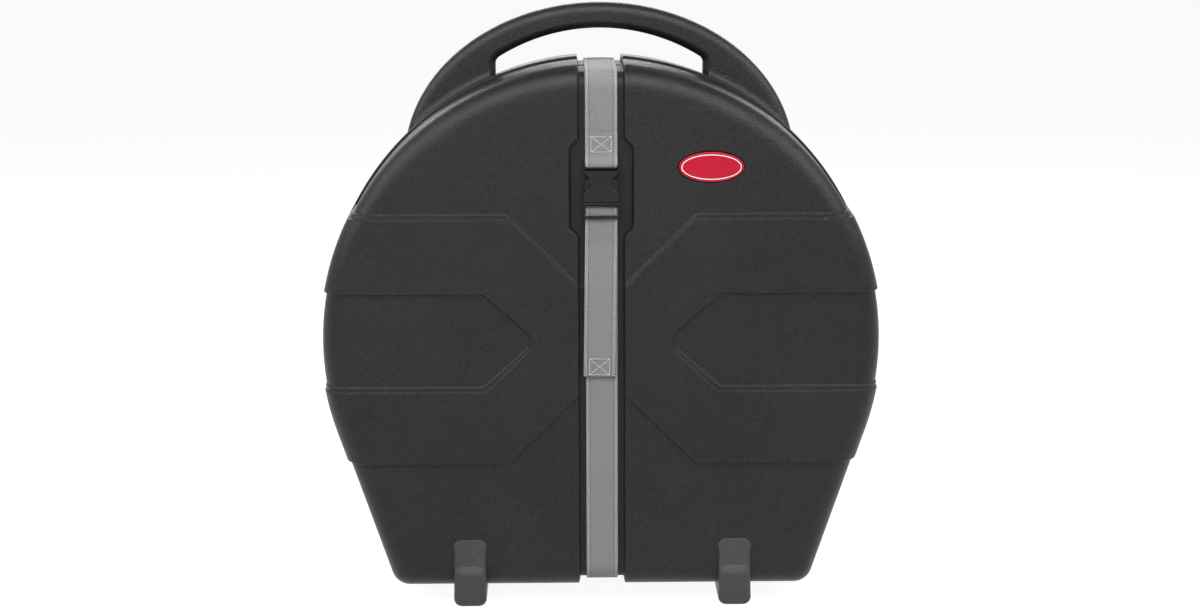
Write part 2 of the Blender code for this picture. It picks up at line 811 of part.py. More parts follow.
def latch_arm(side, name):
    """A sprung arm with a pad that fills the socket's side window."""
    root_z = latch_pivot(side).z
    inner = ARM_X - ARM_THICK / 2
    outer = ARM_X + ARM_THICK / 2
    ledge = LEDGE_Z + GAP
    outline = [
        (inner, root_z),
        (outer, root_z),
        (outer, ledge),
        (PAD_HALF, ledge),
        (PAD_HALF, ledge + PAD_FLAT),
        (PAD_HALF - PAD_TAPER, ledge + PAD_HEIGHT),
        (outer - ARM_TAPER, ARM_TOP_Z),
        (inner - ARM_TAPER, ARM_TOP_Z),
    ]
    if side < 0:
        outline = [(-x, z) for x, z in reversed(outline)]
    half = ARM_WIDTH / 2
    return loft(name, [upright(outline, prong_y() - half), upright(outline, prong_y() + half)])


# Wheels

def well_half():
    """Half the clear width of a wheel well."""
    return WHEEL_WIDTH / 2 + HUB_SIDE + WELL_SIDE


def axle(name):
    """A plain pin, seated in both side walls of its well."""
    half = well_half() + AXLE_SEAT
    profile = [
        (0, half),
        (AXLE_R - AXLE_CHAMFER, half),
        (AXLE_R, half - AXLE_CHAMFER),
        (AXLE_R, -half + AXLE_CHAMFER),
        (AXLE_R - AXLE_CHAMFER, -half),
        (0, -half),
    ]
    return turned(name, profile, TURN_STEPS)


def wheel_hub(name):
    """A moulded hub: boss, thin web and outer rim, turned as one profile."""
    rim_r = WHEEL_R - TYRE_THICK - GAP
    half = WHEEL_WIDTH / 2
    boss = half + HUB_SIDE
    web = HUB_WEB / 2
    profile = [
        (AXLE_R + GAP, boss),
        (HUB_BOSS_R, boss),
        (HUB_BOSS_R, web),
        (rim_r - HUB_WALL, web),
        (rim_r - HUB_WALL, half),
        (rim_r, half),
        (rim_r, -half),
        (rim_r - HUB_WALL, -half),
        (rim_r - HUB_WALL, -web),
        (HUB_BOSS_R, -web),
        (HUB_BOSS_R, -boss),
        (AXLE_R + GAP, -boss),
    ]
    return turned(name, profile, TURN_STEPS, closed=True)


def wheel_tyre(name):
    """A soft tread with a slight crown."""
    inner = WHEEL_R - TYRE_THICK
    half = WHEEL_WIDTH / 2
    profile = [
        (inner, half),
        (WHEEL_R - 2 * TYRE_CROWN, half),
        (WHEEL_R - TYRE_CROWN / 2, half - 2 * TYRE_CROWN),
        (WHEEL_R, half / 3),
        (WHEEL_R, -half / 3),
        (WHEEL_R - TYRE_CROWN / 2, -half + 2 * TYRE_CROWN),
        (WHEEL_R - 2 * TYRE_CROWN, -half),
        (inner, -half),
    ]
    return turned(name, profile, TYRE_STEPS, closed=True)


# Inside the case

def foam_pad(name, low_y, high_y):
    """A round pad that follows the moulded wall behind it and leaves room for the post."""
    pad = rod(name, (0, low_y, CENTRE_Z), (0, high_y, CENTRE_Z), FOAM_R, 2 * TURN_STEPS)
    combine(pad, case_form("foam_room", WALL + GAP), "INTERSECT")
    return combine(pad, rod("post_room", (0, -FAR, CENTRE_Z), (0, FAR, CENTRE_Z),
                            FOAM_HOLE_R), "DIFFERENCE")


def foam_base():
    """The pad in the base."""
    return foam_pad("foam_base", REAR_Y - WALL - FOAM_THICK, REAR_Y)


def foam_lid():
    """The pad in the lid."""
    return foam_pad("foam_lid", FRONT_Y, FRONT_Y + WALL + FOAM_THICK)


def ridge_y():
    """Depth of the inner face of the moulded ridge behind the rear channel."""
    return REAR_Y - CHANNEL_DEPTH - WALL


def plate_front_y():
    """Depth of the post plate's front face."""
    return ridge_y() - GAP - PLATE_THICK


def screw_places():
    """The four screw positions on the plate, as (x, z)."""
    half = SCREW_PITCH_HALF
    return [(sx * half, CENTRE_Z + sz * half) for sz in (1, -1) for sx in (-1, 1)]


def post_plate():
    """The square flange with a collar for the post."""
    half = PLATE_SIZE / 2
    flat = half - PLATE_CORNER
    outline = [(flat, -half), (half, -flat), (half, flat), (flat, half),
               (-flat, half), (-half, flat), (-half, -flat), (-flat, -half)]
    outline = [(x, CENTRE_Z + z) for x, z in outline]
    front = plate_front_y()
    plate = loft("post_plate", [upright(outline, front), upright(outline, ridge_y() - GAP)])
    combine(plate, rod("collar", (0, front + PLATE_THICK / 2, CENTRE_Z),
                       (0, front - PLATE_COLLAR, CENTRE_Z), PLATE_COLLAR_R), "UNION")
    combine(plate, rod("bore", (0, REAR_Y, CENTRE_Z), (0, front - 2 * PLATE_COLLAR, CENTRE_Z),
                       POST_R + GAP), "DIFFERENCE")
    holes = [rod("hole", (x, REAR_Y, z), (x, front - GAP, z), SCREW_R + GAP, SCREW_SIDES)
             for x, z in screw_places()]
    return combine(plate, gather("holes", holes), "DIFFERENCE")


def post_screw(name):
    """A pan-head screw, its head towards +Z before it is placed."""
    profile = [
        (0, SCREW_HEAD),
        (SCREW_HEAD_R - SCREW_HEAD / 2, SCREW_HEAD),
        (SCREW_HEAD_R, SCREW_HEAD / 2),
        (SCREW_HEAD_R, 0),
        (SCREW_R, 0),
        (SCREW_R, -SCREW_GRIP + SCREW_POINT),
        (SCREW_R - SCREW_POINT, -SCREW_GRIP),
        (0, -SCREW_GRIP),
    ]
    return turned(name, profile, SCREW_SIDES)


def centre_post():
    """The threaded post, from the plate to its rounded tip."""
    length = ridge_y() - GAP - POST_TIP_Y
    profile = [
        (0, length),
        (POST_R - POST_CHAMFER, length),
        (POST_R, length - POST_CHAMFER),
        (POST_R, 0),
        (0, 0),
    ]
    return turned("centre_post", profile, TURN_STEPS)


def ring_washer(name, radius, thick, dish=0.0):
    """A washer on the post, flat or dished."""
    bore = POST_R + GAP
    profile = [
        (bore, thick + dish),
        (radius * WASHER_BOSS, thick + dish),
        (radius, thick),
        (radius, 0),
        (radius * WASHER_BOSS, dish),
        (bore, dish),
    ]
    return turned(name, profile, TURN_STEPS, closed=True)


def wing_nut():
    """A nut with two raised wings, its back face at z = 0 before it is placed."""
    nut = rod("wing_nut", (0, 0, 0), (0, 0, NUT_LENGTH), NUT_R)
    for side in (-1, 1):
        root = NUT_R - POST_R / 2
        knee = WING_REACH - WING_TIP_LENGTH
        outline = [(root, WING_ROOT_LOW), (knee, (WING_ROOT_LOW + WING_TIP_LOW) / 2),
                   (WING_REACH, WING_TIP_LOW), (WING_REACH, WING_RISE),
                   (knee, WING_RISE), (root, WING_ROOT_HIGH)]
        half = WING_THICK / 2
        wing = loft("wing", [[(side * x, -half, z) for x, z in outline],
                             [(side * x, half, z) for x, z in outline]])
        combine(nut, wing, "UNION")
    return combine(nut, rod("thread", (0, 0, -NUT_LENGTH), (0, 0, 2 * NUT_LENGTH),
                            POST_R + GAP), "DIFFERENCE")


# Materials and placing

def material(name, colour, roughness, metallic=0.0):
    """A plain principled material."""
    result = bpy.data.materials.new(name)
    result.use_nodes = True
    shader = result.node_tree.nodes["Principled BSDF"]
    shader.inputs["Base Color"].default_value = (*colour, 1.0)
    shader.inputs["Roughness"].default_value = roughness
    shader.inputs["Metallic"].default_value = metallic
    result.diffuse_color = (*colour, 1.0)
    return result


def pivot(name, place, parent=None):
    """An empty on a joint's axis; pieces that move with the joint hang from it."""
    empty = bpy.data.objects.new(name, None)
    CASE.objects.link(empty)
    empty.location = place
    if parent:
        empty.parent = parent
        empty.location = Vector(place) - world_place(parent)
    return empty


def world_place(obj):
    """Where an unturned object stands in the world."""
    place = Vector(obj.location)
    while obj.parent:
        obj = obj.parent
        place += Vector(obj.location)
    return place


def finish(obj, finish_material, parent=None, origin=None, place=None, turn=None):
    """Move a finished piece into the case's collection, with its origin and parent."""
    WORK.objects.unlink(obj)
    CASE.objects.link(obj)
    obj.hide_render = False
    obj.display_type = "TEXTURED"
    obj.data.materials.clear()
    obj.data.materials.append(finish_material)
    for polygon in obj.data.polygons:
        polygon.material_index = 0
    obj.data.shade_smooth()
    obj.data.set_sharp_from_angle(angle=math.radians(32))
    if origin is not None:
        obj.data.transform(Matrix.Translation(-Vector(origin)))
        place = origin
    target = Vector(place) if place is not None else Vector((0, 0, 0))
    if turn is not None:
        obj.rotation_euler = turn
    if parent:
        obj.parent = parent
        target = target - world_place(parent)
    obj.location = target
    return obj


def build_body(base, lid, shell_plastic, badge_paint):
    """Both shells and the badge."""
    finish(rear_shell(), shell_plastic, base)
    finish(lid_shell(), shell_plastic, lid)
    finish(badge_plate(), badge_paint, lid)


def build_strap(base, lid, slider, webbing):
    """The webbing runs and the free tail, which leans a little to one side."""
    finish(strap_rear_run(), webbing, base)
    finish(strap_upper_run(), webbing, lid)
    finish(strap_lower_run(), webbing, lid)
    bar_y, bar_z = ladder_bar()
    finish(strap_tail(), webbing, slider, origin=(0, bar_y, bar_z), turn=(0, TAIL_LEAN, 0))


def build_buckle(lid, slider, buckle_plastic):
    """Socket, tongue and the two latch arms."""
    finish(buckle_socket(), buckle_plastic, lid)
    finish(buckle_tongue(), buckle_plastic, slider)
    for side, word in ((-1, "left"), (1, "right")):
        place = latch_pivot(side)
        hinge = pivot("latch_pivot_" + word, place, slider)
        finish(latch_arm(side, "latch_arm_" + word), buckle_plastic, hinge, origin=place)


def build_wheels(base, steel, hub_plastic, tread):
    """Two wheels on their axles."""
    quarter = (0, math.pi / 2, 0)
    for side, word in ((-1, "left"), (1, "right")):
        place = (side * WHEEL_X, WHEEL_Y, WHEEL_R)
        spin = pivot("wheel_spin_" + word, place, base)
        finish(axle("axle_" + word), steel, base, place=place, turn=quarter)
        finish(wheel_hub("wheel_hub_" + word), hub_plastic, spin, place=place, turn=quarter)
        finish(wheel_tyre("wheel_tyre_" + word), tread, spin, place=place, turn=quarter)


def build_inside(base, lid, foam, steel, felt):
    """Foam pads, the post and what is threaded on it."""
    forward = (math.pi / 2, 0, 0)
    finish(foam_base(), foam, base)
    finish(foam_lid(), foam, lid)
    finish(post_plate(), steel, base)
    for i, (x, z) in enumerate(screw_places()):
        finish(post_screw("post_screw_" + str(i + 1)), steel, base,
               place=(x, plate_front_y() - GAP, z), turn=forward)
    finish(centre_post(), steel, base, place=(0, ridge_y() - GAP, CENTRE_Z), turn=forward)
    collar_y = plate_front_y() - PLATE_COLLAR
    finish(ring_washer("felt_lower", FELT_R, FELT_THICK), felt, base,
           place=(0, collar_y - GAP, CENTRE_Z), turn=forward)
    travel = pivot("nut_travel", (0, NUT_BACK_Y, CENTRE_Z), base)
    cup_y = NUT_BACK_Y + GAP + CUP_THICK + CUP_RISE
    finish(ring_washer("cup_washer", CUP_R, CUP_THICK, CUP_RISE), steel, travel,
           place=(0, cup_y, CENTRE_Z), turn=forward)
    finish(ring_washer("felt_upper", FELT_R, FELT_THICK), felt, travel,
           place=(0, cup_y + GAP + FELT_THICK, CENTRE_Z), turn=forward)
    spin = pivot("nut_spin", (0, NUT_BACK_Y, CENTRE_Z), travel)
    finish(wing_nut(), steel, spin, place=(0, NUT_BACK_Y, CENTRE_Z), turn=forward)


def main():
    """Build the whole case."""
    shell_plastic = material("shell_plastic", (0.045, 0.046, 0.050), 0.55)
    buckle_plastic = material("buckle_plastic", (0.020, 0.022, 0.030), 0.35)
    webbing = material("webbing", (0.33, 0.33, 0.31), 0.80)
    badge_paint = material("badge_paint", (0.62, 0.02, 0.07), 0.30)
    steel = material("steel", (0.62, 0.62, 0.60), 0.30, 1.0)
    hub_plastic = material("hub_plastic", (0.10, 0.10, 0.10), 0.50)
    tread = material("tread", (0.025, 0.025, 0.025), 0.75)
    foam = material("foam", (0.05, 0.05, 0.055), 0.95)
    felt = material("felt", (0.30, 0.30, 0.30), 0.98)

    base = pivot("base", (0, 0, 0))
    lid = pivot("lid_slide", (0, SEAM_Y, CENTRE_Z))
    bar_y, bar_z = ladder_bar()
    slider = pivot("buckle_slide", (0, bar_y, bar_z), lid)

    build_body(base, lid, shell_plastic, badge_paint)
    build_strap(base, lid, slider, webbing)
    build_buckle(lid, slider, buckle_plastic)
    build_wheels(base, steel, hub_plastic, tread)
    build_inside(base, lid, foam, steel, felt)


clear_scene()
CASE = new_collection("cymbal_case")
WORK = new_collection("cutters")
main()
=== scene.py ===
"""Looks of the cymbal case: smooth mouldings, webbing, finishes, camera and studio."""
import math
from collections import namedtuple

import bpy
import bmesh
import numpy as np
from mathutils import Matrix, Vector
from mathutils.geometry import delaunay_2d_cdt


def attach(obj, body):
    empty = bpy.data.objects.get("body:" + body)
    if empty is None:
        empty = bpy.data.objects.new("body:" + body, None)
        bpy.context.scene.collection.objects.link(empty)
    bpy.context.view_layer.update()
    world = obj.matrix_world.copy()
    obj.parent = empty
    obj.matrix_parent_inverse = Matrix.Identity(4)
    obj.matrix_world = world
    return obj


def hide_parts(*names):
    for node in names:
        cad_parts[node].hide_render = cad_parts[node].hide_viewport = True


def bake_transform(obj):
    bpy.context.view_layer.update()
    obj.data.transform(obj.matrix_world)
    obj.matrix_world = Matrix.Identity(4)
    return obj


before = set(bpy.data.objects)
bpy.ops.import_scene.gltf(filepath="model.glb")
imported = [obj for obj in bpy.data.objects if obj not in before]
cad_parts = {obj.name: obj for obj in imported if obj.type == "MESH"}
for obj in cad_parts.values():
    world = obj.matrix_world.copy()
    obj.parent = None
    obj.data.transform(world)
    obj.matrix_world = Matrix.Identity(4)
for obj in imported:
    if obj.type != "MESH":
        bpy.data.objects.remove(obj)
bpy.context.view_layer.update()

# Gap between pieces that touch, how far a cutter overshoots, and two lengths beyond the case
CLEARANCE = 0.0003
OVERCUT = 0.0003
FAR = 0.45
BEYOND = 1

# Case outline and depths, as the solids have them but for a rounder shoulder
RIM_R = 0.3395
CENTRE_Z = 0.3205
TAPER = math.radians(18.7)
BODY_BOTTOM_Z = 0.0145
CORNER_R = 0.026
CORNER_LEAST = 0.003
LID_DEPTH = 0.095
BASE_DEPTH = 0.120
FRONT_Y = -(LID_DEPTH + BASE_DEPTH) / 2
REAR_Y = (LID_DEPTH + BASE_DEPTH) / 2
SEAM_Y = FRONT_Y + LID_DEPTH
SEAM_GAP = 0.0006
WALL = 0.005
RIM_STEP = 0.003
DRAFT = 0.0012
SHOULDER_R = 0.028
FLAT_INSET = RIM_STEP + DRAFT + SHOULDER_R
SHOULDER_STEPS = 14
SEAM_EDGE = 0.0010

# Bead and lip of the base
BEAD_WIDTH = 0.013
BEAD_RAMP = 0.0025
BEAD_EASE = 0.0004
LIP_INSET = WALL + 0.0008
LIP_WALL = 0.0035
LIP_REACH = 0.028
LIP_EDGE = 0.0008

# Strap channel, buckle pocket and their rounded edges
CHANNEL_HALF = 0.0274
CHANNEL_DEPTH = 0.008
POCKET_HALF = 0.0376
POCKET_LOW_Z = 0.463
POCKET_HIGH_Z = 0.559
POCKET_CORNER_R = 0.005
EDGE_R = 0.0022
EDGE_DRAFT = 0.0009
FLOOR_R = 0.0011
FLOOR_STEP = 0.0009

# Raised band and its hollows; its ledges lie up to 6 mm from those of the solids
BAND_RISE = 0.0035
BAND_FIRST = 0.45
BAND_TREAD = 0.0062
BAND_FILLET = 0.0011
BAND_FILLET_SHARE = 0.48
BAND_LEDGE = math.radians(70)
BAND_STEP = 0.0030
BAND_LOW_Z = 0.1748
BAND_HIGH_Z = 0.4808
BAND_CORNER_X = 0.1117
HOLLOW_LOW_Z = 0.2722
HOLLOW_HIGH_Z = 0.3826
HOLLOW_CORNER_X = 0.1420
HOLLOW_TIP_X = 0.0884
HOLLOW_TIP_HALF = 0.0070
BAND_BEND_R = 0.014
HOLLOW_BEND_R = 0.009

# Badge
BADGE_X = 0.1299
BADGE_Z = 0.5352
BADGE_HALF_WIDTH = 0.0383
BADGE_HALF_HEIGHT = 0.0178
SEAT_MARGIN = 0.0016
SEAT_DEPTH = 0.0012
SEAT_EDGE = 0.0012

# Points of the case's meshes: spacings, and the room they leave each other
RIM_SPACING = 0.02
SIDE_SPACING = 0.008
BOTTOM_SPACING = 0.010
LINE_SPACING = 0.005
LINE_TOP_Z = 0.7
ROW_SPACING = 0.004
GRID_SPACING = 0.011
GRID_TO_EDGE = 0.004
GRID_TO_ROW = 0.005
ROW_TO_EDGE = 0.0012
ROW_MARGIN = 0.0012
ROW_SLACK = 0.0005
LEDGE_MARGIN = 0.006
LEDGE_REACH = 0.03
WELD = 0.000002
BLOCK = 4000

# Angles in degrees below which a mesh is shaded smooth
SMOOTH = 32
SMOOTHER = 50

# The webbing's UV map: metres across, and metres along
WEAVE_MAP = "weave"


# Meshes

def full_turn(steps):
    """Evenly spaced angles all the way round."""
    return np.linspace(0, 2 * math.pi, steps, endpoint=False)


def quarter(steps):
    """Evenly spaced angles of a quarter turn, both ends included."""
    return np.linspace(0, math.pi / 2, steps)


def add_object(name, data):
    """A new object in the scene."""
    obj = bpy.data.objects.new(name, data)
    bpy.context.scene.collection.objects.link(obj)
    return obj


def shade(mesh, angle):
    """Shade a mesh smooth where its faces meet below an angle."""
    mesh.shade_smooth()
    mesh.set_sharp_from_angle(angle=math.radians(angle))


def add_mesh(name, points, faces, smooth=SMOOTH, uvs=None):
    """An object from points and faces; its points are welded, or else get a UV each."""
    mesh = bpy.data.meshes.new(name)
    mesh.from_pydata([tuple(map(float, p)) for p in points], [], [tuple(map(int, f)) for f in faces])
    if uvs:
        layer = mesh.uv_layers.new(name=WEAVE_MAP)
        for loop in mesh.loops:
            layer.data[loop.index].uv = uvs[loop.vertex_index]
    bm = bmesh.new()
    bm.from_mesh(mesh)
    if not uvs:
        bmesh.ops.remove_doubles(bm, verts=bm.verts[:], dist=WELD)
    bmesh.ops.recalc_face_normals(bm, faces=bm.faces[:])
    bm.to_mesh(mesh)
    bm.free()
    shade(mesh, smooth)
    return add_object(name, mesh)


def ring_faces(rings, count, closed=False):
    """Faces between neighbouring rings of points, and from the last to the first if closed."""
    faces = []
    for k in range(rings if closed else rings - 1):
        a, b = k * count, (k + 1) % rings * count
        faces += [(a + i, a + (i + 1) % count, b + (i + 1) % count, b + i) for i in range(count)]
    return faces


def tube_faces(rings, count):
    """Faces between neighbouring rings, and one over each end."""
    last = (rings - 1) * count
    return ring_faces(rings, count) + [tuple(range(count)), tuple(range(last, last + count))]


def ease(t):
    """Smooth step from 0 to 1."""
    t = np.clip(t, 0, 1)
    return t * t * (3 - 2 * t)


Outline = namedtuple("Outline", "radius corner_r corner_x corner_z")


def outline_at(inset):
    """The case's outline at an inset: its radius, and its corners' radius and right centre."""
    radius = RIM_R - inset
    corner_r = max(CORNER_R - inset, CORNER_LEAST)
    corner_z = BODY_BOTTOM_Z + inset + corner_r
    corner_x = (radius - corner_r + (corner_z - CENTRE_Z) * math.sin(TAPER)) / math.cos(TAPER)
    return Outline(radius, corner_r, corner_x, corner_z)


def edge_profile():
    """Depth across a channel edge, from 0 outside to the full depth, as two arrays."""
    turn = quarter(6)
    side = -EDGE_R + EDGE_R * np.sin(turn)
    drop = EDGE_R - EDGE_R * np.cos(turn)
    foot_side = EDGE_DRAFT + FLOOR_R - FLOOR_R * np.cos(turn)
    foot_drop = CHANNEL_DEPTH - FLOOR_R + FLOOR_R * np.sin(turn)
    return np.append(side, foot_side), np.append(drop, foot_drop) / CHANNEL_DEPTH


EDGE_SIDE, EDGE_DROP = edge_profile()
EDGE_ROWS = np.concatenate([[-2 * EDGE_R], EDGE_SIDE, [EDGE_SIDE[-1] + EDGE_R]])


def ledge_profile(rise):
    """Distance and share of the rise across one rounded ledge, as two arrays."""
    turn = np.linspace(0, BAND_LEDGE, 5)
    radius = min(BAND_FILLET, BAND_FILLET_SHARE * rise / (1 - math.cos(BAND_LEDGE)))
    side = radius * np.sin(turn)
    lift = radius * (1 - np.cos(turn))
    width = 2 * side[-1] + (rise - 2 * lift[-1]) / math.tan(BAND_LEDGE)
    return np.append(side, width - side[::-1]), np.append(lift, rise - lift[::-1]) / rise


BAND_ROWS = np.concatenate([[-ROW_MARGIN], ledge_profile(BAND_RISE)[0], [BAND_STEP + ROW_MARGIN]])


def rounded(points, radii, steps=6):
    """Replace a closed outline's corners with arcs of given radii."""
    result = []
    count = len(points)
    for i, radius in enumerate(radii):
        here = np.array(points[i])
        back = np.array(points[i - 1]) - here
        ahead = np.array(points[(i + 1) % count]) - here
        back /= np.hypot(*back)
        ahead /= np.hypot(*ahead)
        half = math.acos(np.clip(back @ ahead, -1, 1)) / 2
        if radius == 0:
            result.append(here)
            continue
        middle = (back + ahead) / np.hypot(*(back + ahead))
        centre = here + middle * radius / math.sin(half)
        start = here + back * radius / math.tan(half) - centre
        end = here + ahead * radius / math.tan(half) - centre
        first = math.atan2(start[1], start[0])
        turn = (math.atan2(end[1], end[0]) - first + math.pi) % (2 * math.pi) - math.pi
        for k in range(steps + 1):
            angle = first + turn * k / steps
            result.append(centre + radius * np.array([math.cos(angle), math.sin(angle)]))
    return np.array(result)


def band_shape(tread):
    """The band's outline with its hollows, in by a tread at ledges that face up, and else by a hair."""
    slope = BAND_CORNER_X - CHANNEL_HALF
    middle = (HOLLOW_LOW_Z + HOLLOW_HIGH_Z) / 2
    turn = tread * math.tan(math.pi / 8)
    high_z = BAND_HIGH_Z - tread
    low_z = HOLLOW_LOW_Z - tread
    tip_x = HOLLOW_TIP_X - tread / 2
    hair = tread / 16
    base_z = BAND_LOW_Z + hair
    right = [
        (CHANNEL_HALF, base_z + slope, 0),
        (BAND_CORNER_X, base_z, BAND_BEND_R),
        (FAR, base_z, 0),
        (FAR, low_z, 0),
        (HOLLOW_CORNER_X - turn, low_z, HOLLOW_BEND_R),
        (tip_x, middle - HOLLOW_TIP_HALF - turn, HOLLOW_BEND_R),
        (tip_x, middle + HOLLOW_TIP_HALF - turn / 2, HOLLOW_BEND_R),
        (HOLLOW_CORNER_X, HOLLOW_HIGH_Z + hair, HOLLOW_BEND_R),
        (FAR, HOLLOW_HIGH_Z + hair, 0),
        (FAR, high_z, 0),
        (BAND_CORNER_X - turn, high_z, BAND_BEND_R),
        (CHANNEL_HALF, high_z - slope + turn, 0),
    ]
    whole = right + [(-x, z, r) for x, z, r in reversed(right)]
    return rounded([(x, z) for x, z, r in whole], [r for x, z, r in whole])


def pocket_shape():
    """The wider part of the channel round the buckle."""
    flare = POCKET_HALF - CHANNEL_HALF
    right = [
        (CHANNEL_HALF, POCKET_LOW_Z - flare),
        (POCKET_HALF, POCKET_LOW_Z),
        (POCKET_HALF, POCKET_HIGH_Z),
        (CHANNEL_HALF, POCKET_HIGH_Z + flare),
    ]
    whole = right + [(-x, z) for x, z in reversed(right)]
    return rounded(whole, [0, POCKET_CORNER_R, POCKET_CORNER_R, 0] * 2, 4)


def inside_distance(points, outline):
    """Signed distance of points to a closed outline, positive inside."""
    start = outline
    edge = np.roll(outline, -1, axis=0) - start
    length = (edge ** 2).sum(1)
    real = length > 1e-16
    start, edge, length = start[real], edge[real], length[real]
    result = np.empty(len(points))
    for k in range(0, len(points), BLOCK):
        part = points[k:k + BLOCK]
        gap = part[:, None] - start[None]
        share = np.clip((gap * edge[None]).sum(2) / length[None], 0, 1)
        near = gap - share[..., None] * edge[None]
        least = np.sqrt((near ** 2).sum(2)).min(1)
        above = gap[..., 1] >= 0
        end_above = (gap - edge[None])[..., 1] >= 0
        side = edge[None, :, 0] * gap[..., 1] - edge[None, :, 1] * gap[..., 0]
        crossings = ((~above & end_above & (side < 0)) | (above & ~end_above & (side > 0))).sum(1)
        result[k:k + BLOCK] = np.where(crossings % 2 == 1, least, -least)
    return result


def offset_row(outline, distance, spacing):
    """Points along an outline moved in by a distance, about evenly spaced."""
    ahead = np.roll(outline, -1, axis=0) - outline
    keep = np.hypot(*ahead.T) > 1e-7
    outline = outline[keep]
    ahead = np.roll(outline, -1, axis=0) - outline
    ahead /= np.hypot(*ahead.T)[:, None]
    back = np.roll(ahead, 1, axis=0)
    mitre = np.stack([-(ahead + back)[:, 1], (ahead + back)[:, 0]], 1)
    mitre /= (1 + (ahead * back).sum(1))[:, None]
    x, z = outline.T
    area = (x * np.roll(z, -1) - np.roll(x, -1) * z).sum()
    moved = outline + mitre * distance * np.sign(area)
    loop = np.vstack([moved, moved[:1]])
    run = np.concatenate([[0], np.cumsum(np.hypot(*np.diff(loop, axis=0).T))])
    at = np.linspace(0, run[-1], max(8, int(run[-1] / spacing)), endpoint=False)
    at = np.unique(np.concatenate([at, run[:-1]]).round(6))
    return np.stack([np.interp(at, run, loop[:, 0]), np.interp(at, run, loop[:, 1])], 1)


PLATES = [(band_shape(0), BAND_FIRST), (band_shape(BAND_TREAD), 1 - BAND_FIRST)]
POCKET = pocket_shape()


def channel_share(points, has_pocket, shift=0.0):
    """How far into the channel points lie, from 0 outside to 1 on its floor."""
    side = CHANNEL_HALF - np.abs(points[:, 0])
    if has_pocket:
        side = np.maximum(side, inside_distance(points, POCKET))
    return np.interp(side + shift, EDGE_SIDE, EDGE_DROP)


def badge_edge(points):
    """Signed distance to the badge seat's oval, positive inside."""
    wide = BADGE_HALF_WIDTH + SEAT_MARGIN
    high = BADGE_HALF_HEIGHT + SEAT_MARGIN
    x, z = points[:, 0] - BADGE_X, points[:, 1] - BADGE_Z
    reach = np.hypot(x / wide, z / high)
    slope = np.hypot(x / wide ** 2, z / high ** 2) / np.maximum(reach, 0.001)
    return (1 - reach) / np.maximum(slope, 0.001)


def band_share(points):
    """How far the two stacked plates of the band raise points, from 0 to 1."""
    total = 0
    for outline, share in PLATES:
        side, lift = ledge_profile(share * BAND_RISE)
        total = total + share * np.interp(inside_distance(points, outline), side, lift)
    return total


def outer_depth(points, is_lid):
    """How deep the outer surface lies at points seen from the front."""
    channel = channel_share(points, is_lid)
    band = band_share(points)
    floor = CHANNEL_DEPTH + FLOOR_STEP * (1 - band)
    depth = channel * floor - (1 - channel) * BAND_RISE * band
    if is_lid:
        depth += SEAT_DEPTH * ease(badge_edge(points) / SEAT_EDGE)
    return depth, channel


def inner_depth(points, is_lid):
    """The same for the inner surface, whose channel ridge is a wall wider."""
    channel = channel_share(points, is_lid, WALL)
    return WALL + channel * CHANNEL_DEPTH, channel


def spread(values, start, end, spacing):
    """Fill a sorted range with values about evenly, keeping the given ones."""
    values = sorted(set(v for v in values if start < v < end) | {start, end})
    result = []
    for low, high in zip(values, values[1:]):
        parts = max(1, int(round((high - low) / spacing)))
        result += [low + (high - low) * k / parts for k in range(parts)]
    return np.array(result + [end])


# The outlines at the rim and at the flat, and the features' lines that cross them
RIM, FLAT = outline_at(0), outline_at(FLAT_INSET)
SHIFTS = (0, WALL, LIP_INSET + LIP_WALL)
LINES_X = np.concatenate([CHANNEL_HALF + shift - EDGE_ROWS for shift in SHIFTS])
LEDGES = ((BAND_HIGH_Z, -1), (BAND_HIGH_Z - BAND_TREAD, -1), (HOLLOW_HIGH_Z, 1),
          (HOLLOW_LOW_Z, -1), (HOLLOW_LOW_Z - BAND_TREAD, -1), (BAND_LOW_Z, 1))
LINES_Z = [z + sign * row for z, sign in LEDGES for row in BAND_ROWS]
LOW_LINES_Z = BAND_LOW_Z + LEDGE_REACH


def pairs(values, held, point):
    """Points at values on the rim, each with its match at the flat, between pairs that are held."""
    matching = np.interp(values, *zip(*held))
    return [(*point(a, RIM), *point(b, FLAT)) for a, b in zip(values, matching)]


def round_point(angle, outline):
    """The point of the round part at an angle."""
    return outline.radius * math.cos(angle), CENTRE_Z + outline.radius * math.sin(angle)


def taper_point(z, outline):
    """The point of the tapered side at a height."""
    return (outline.radius + (z - CENTRE_Z) * math.sin(TAPER)) / math.cos(TAPER), z


def corner_point(angle, outline):
    """The point of the right corner at an angle."""
    reach = outline.corner_r
    return outline.corner_x + reach * math.cos(angle), outline.corner_z + reach * math.sin(angle)


def bottom_point(x, outline):
    """The point of the bottom at a place across."""
    return x, BODY_BOTTOM_Z + RIM_R - outline.radius


def round_part():
    """Matching points from the top down the right of the round part."""
    across = [[math.acos(x / outline.radius) for outline in (RIM, FLAT)] for x in LINES_X]
    held = [(math.pi / 2, math.pi / 2), (-TAPER, -TAPER), min(across), max(across)]
    reach = BAND_STEP + BAND_TREAD + LEDGE_MARGIN
    for ledge_z in (BAND_HIGH_Z, HOLLOW_HIGH_Z, HOLLOW_LOW_Z):
        for z in (ledge_z + reach, ledge_z - reach):
            held.append([math.asin((z - CENTRE_Z) / outline.radius) for outline in (RIM, FLAT)])
    marks = [rim_angle for rim_angle, _ in across]
    marks += [math.asin((z - CENTRE_Z) / RIM.radius) for z in LINES_Z if z > LOW_LINES_Z]
    angles = spread(marks, -TAPER, math.pi / 2, RIM_SPACING)[::-1]
    return pairs(angles, sorted(map(tuple, held)), round_point)


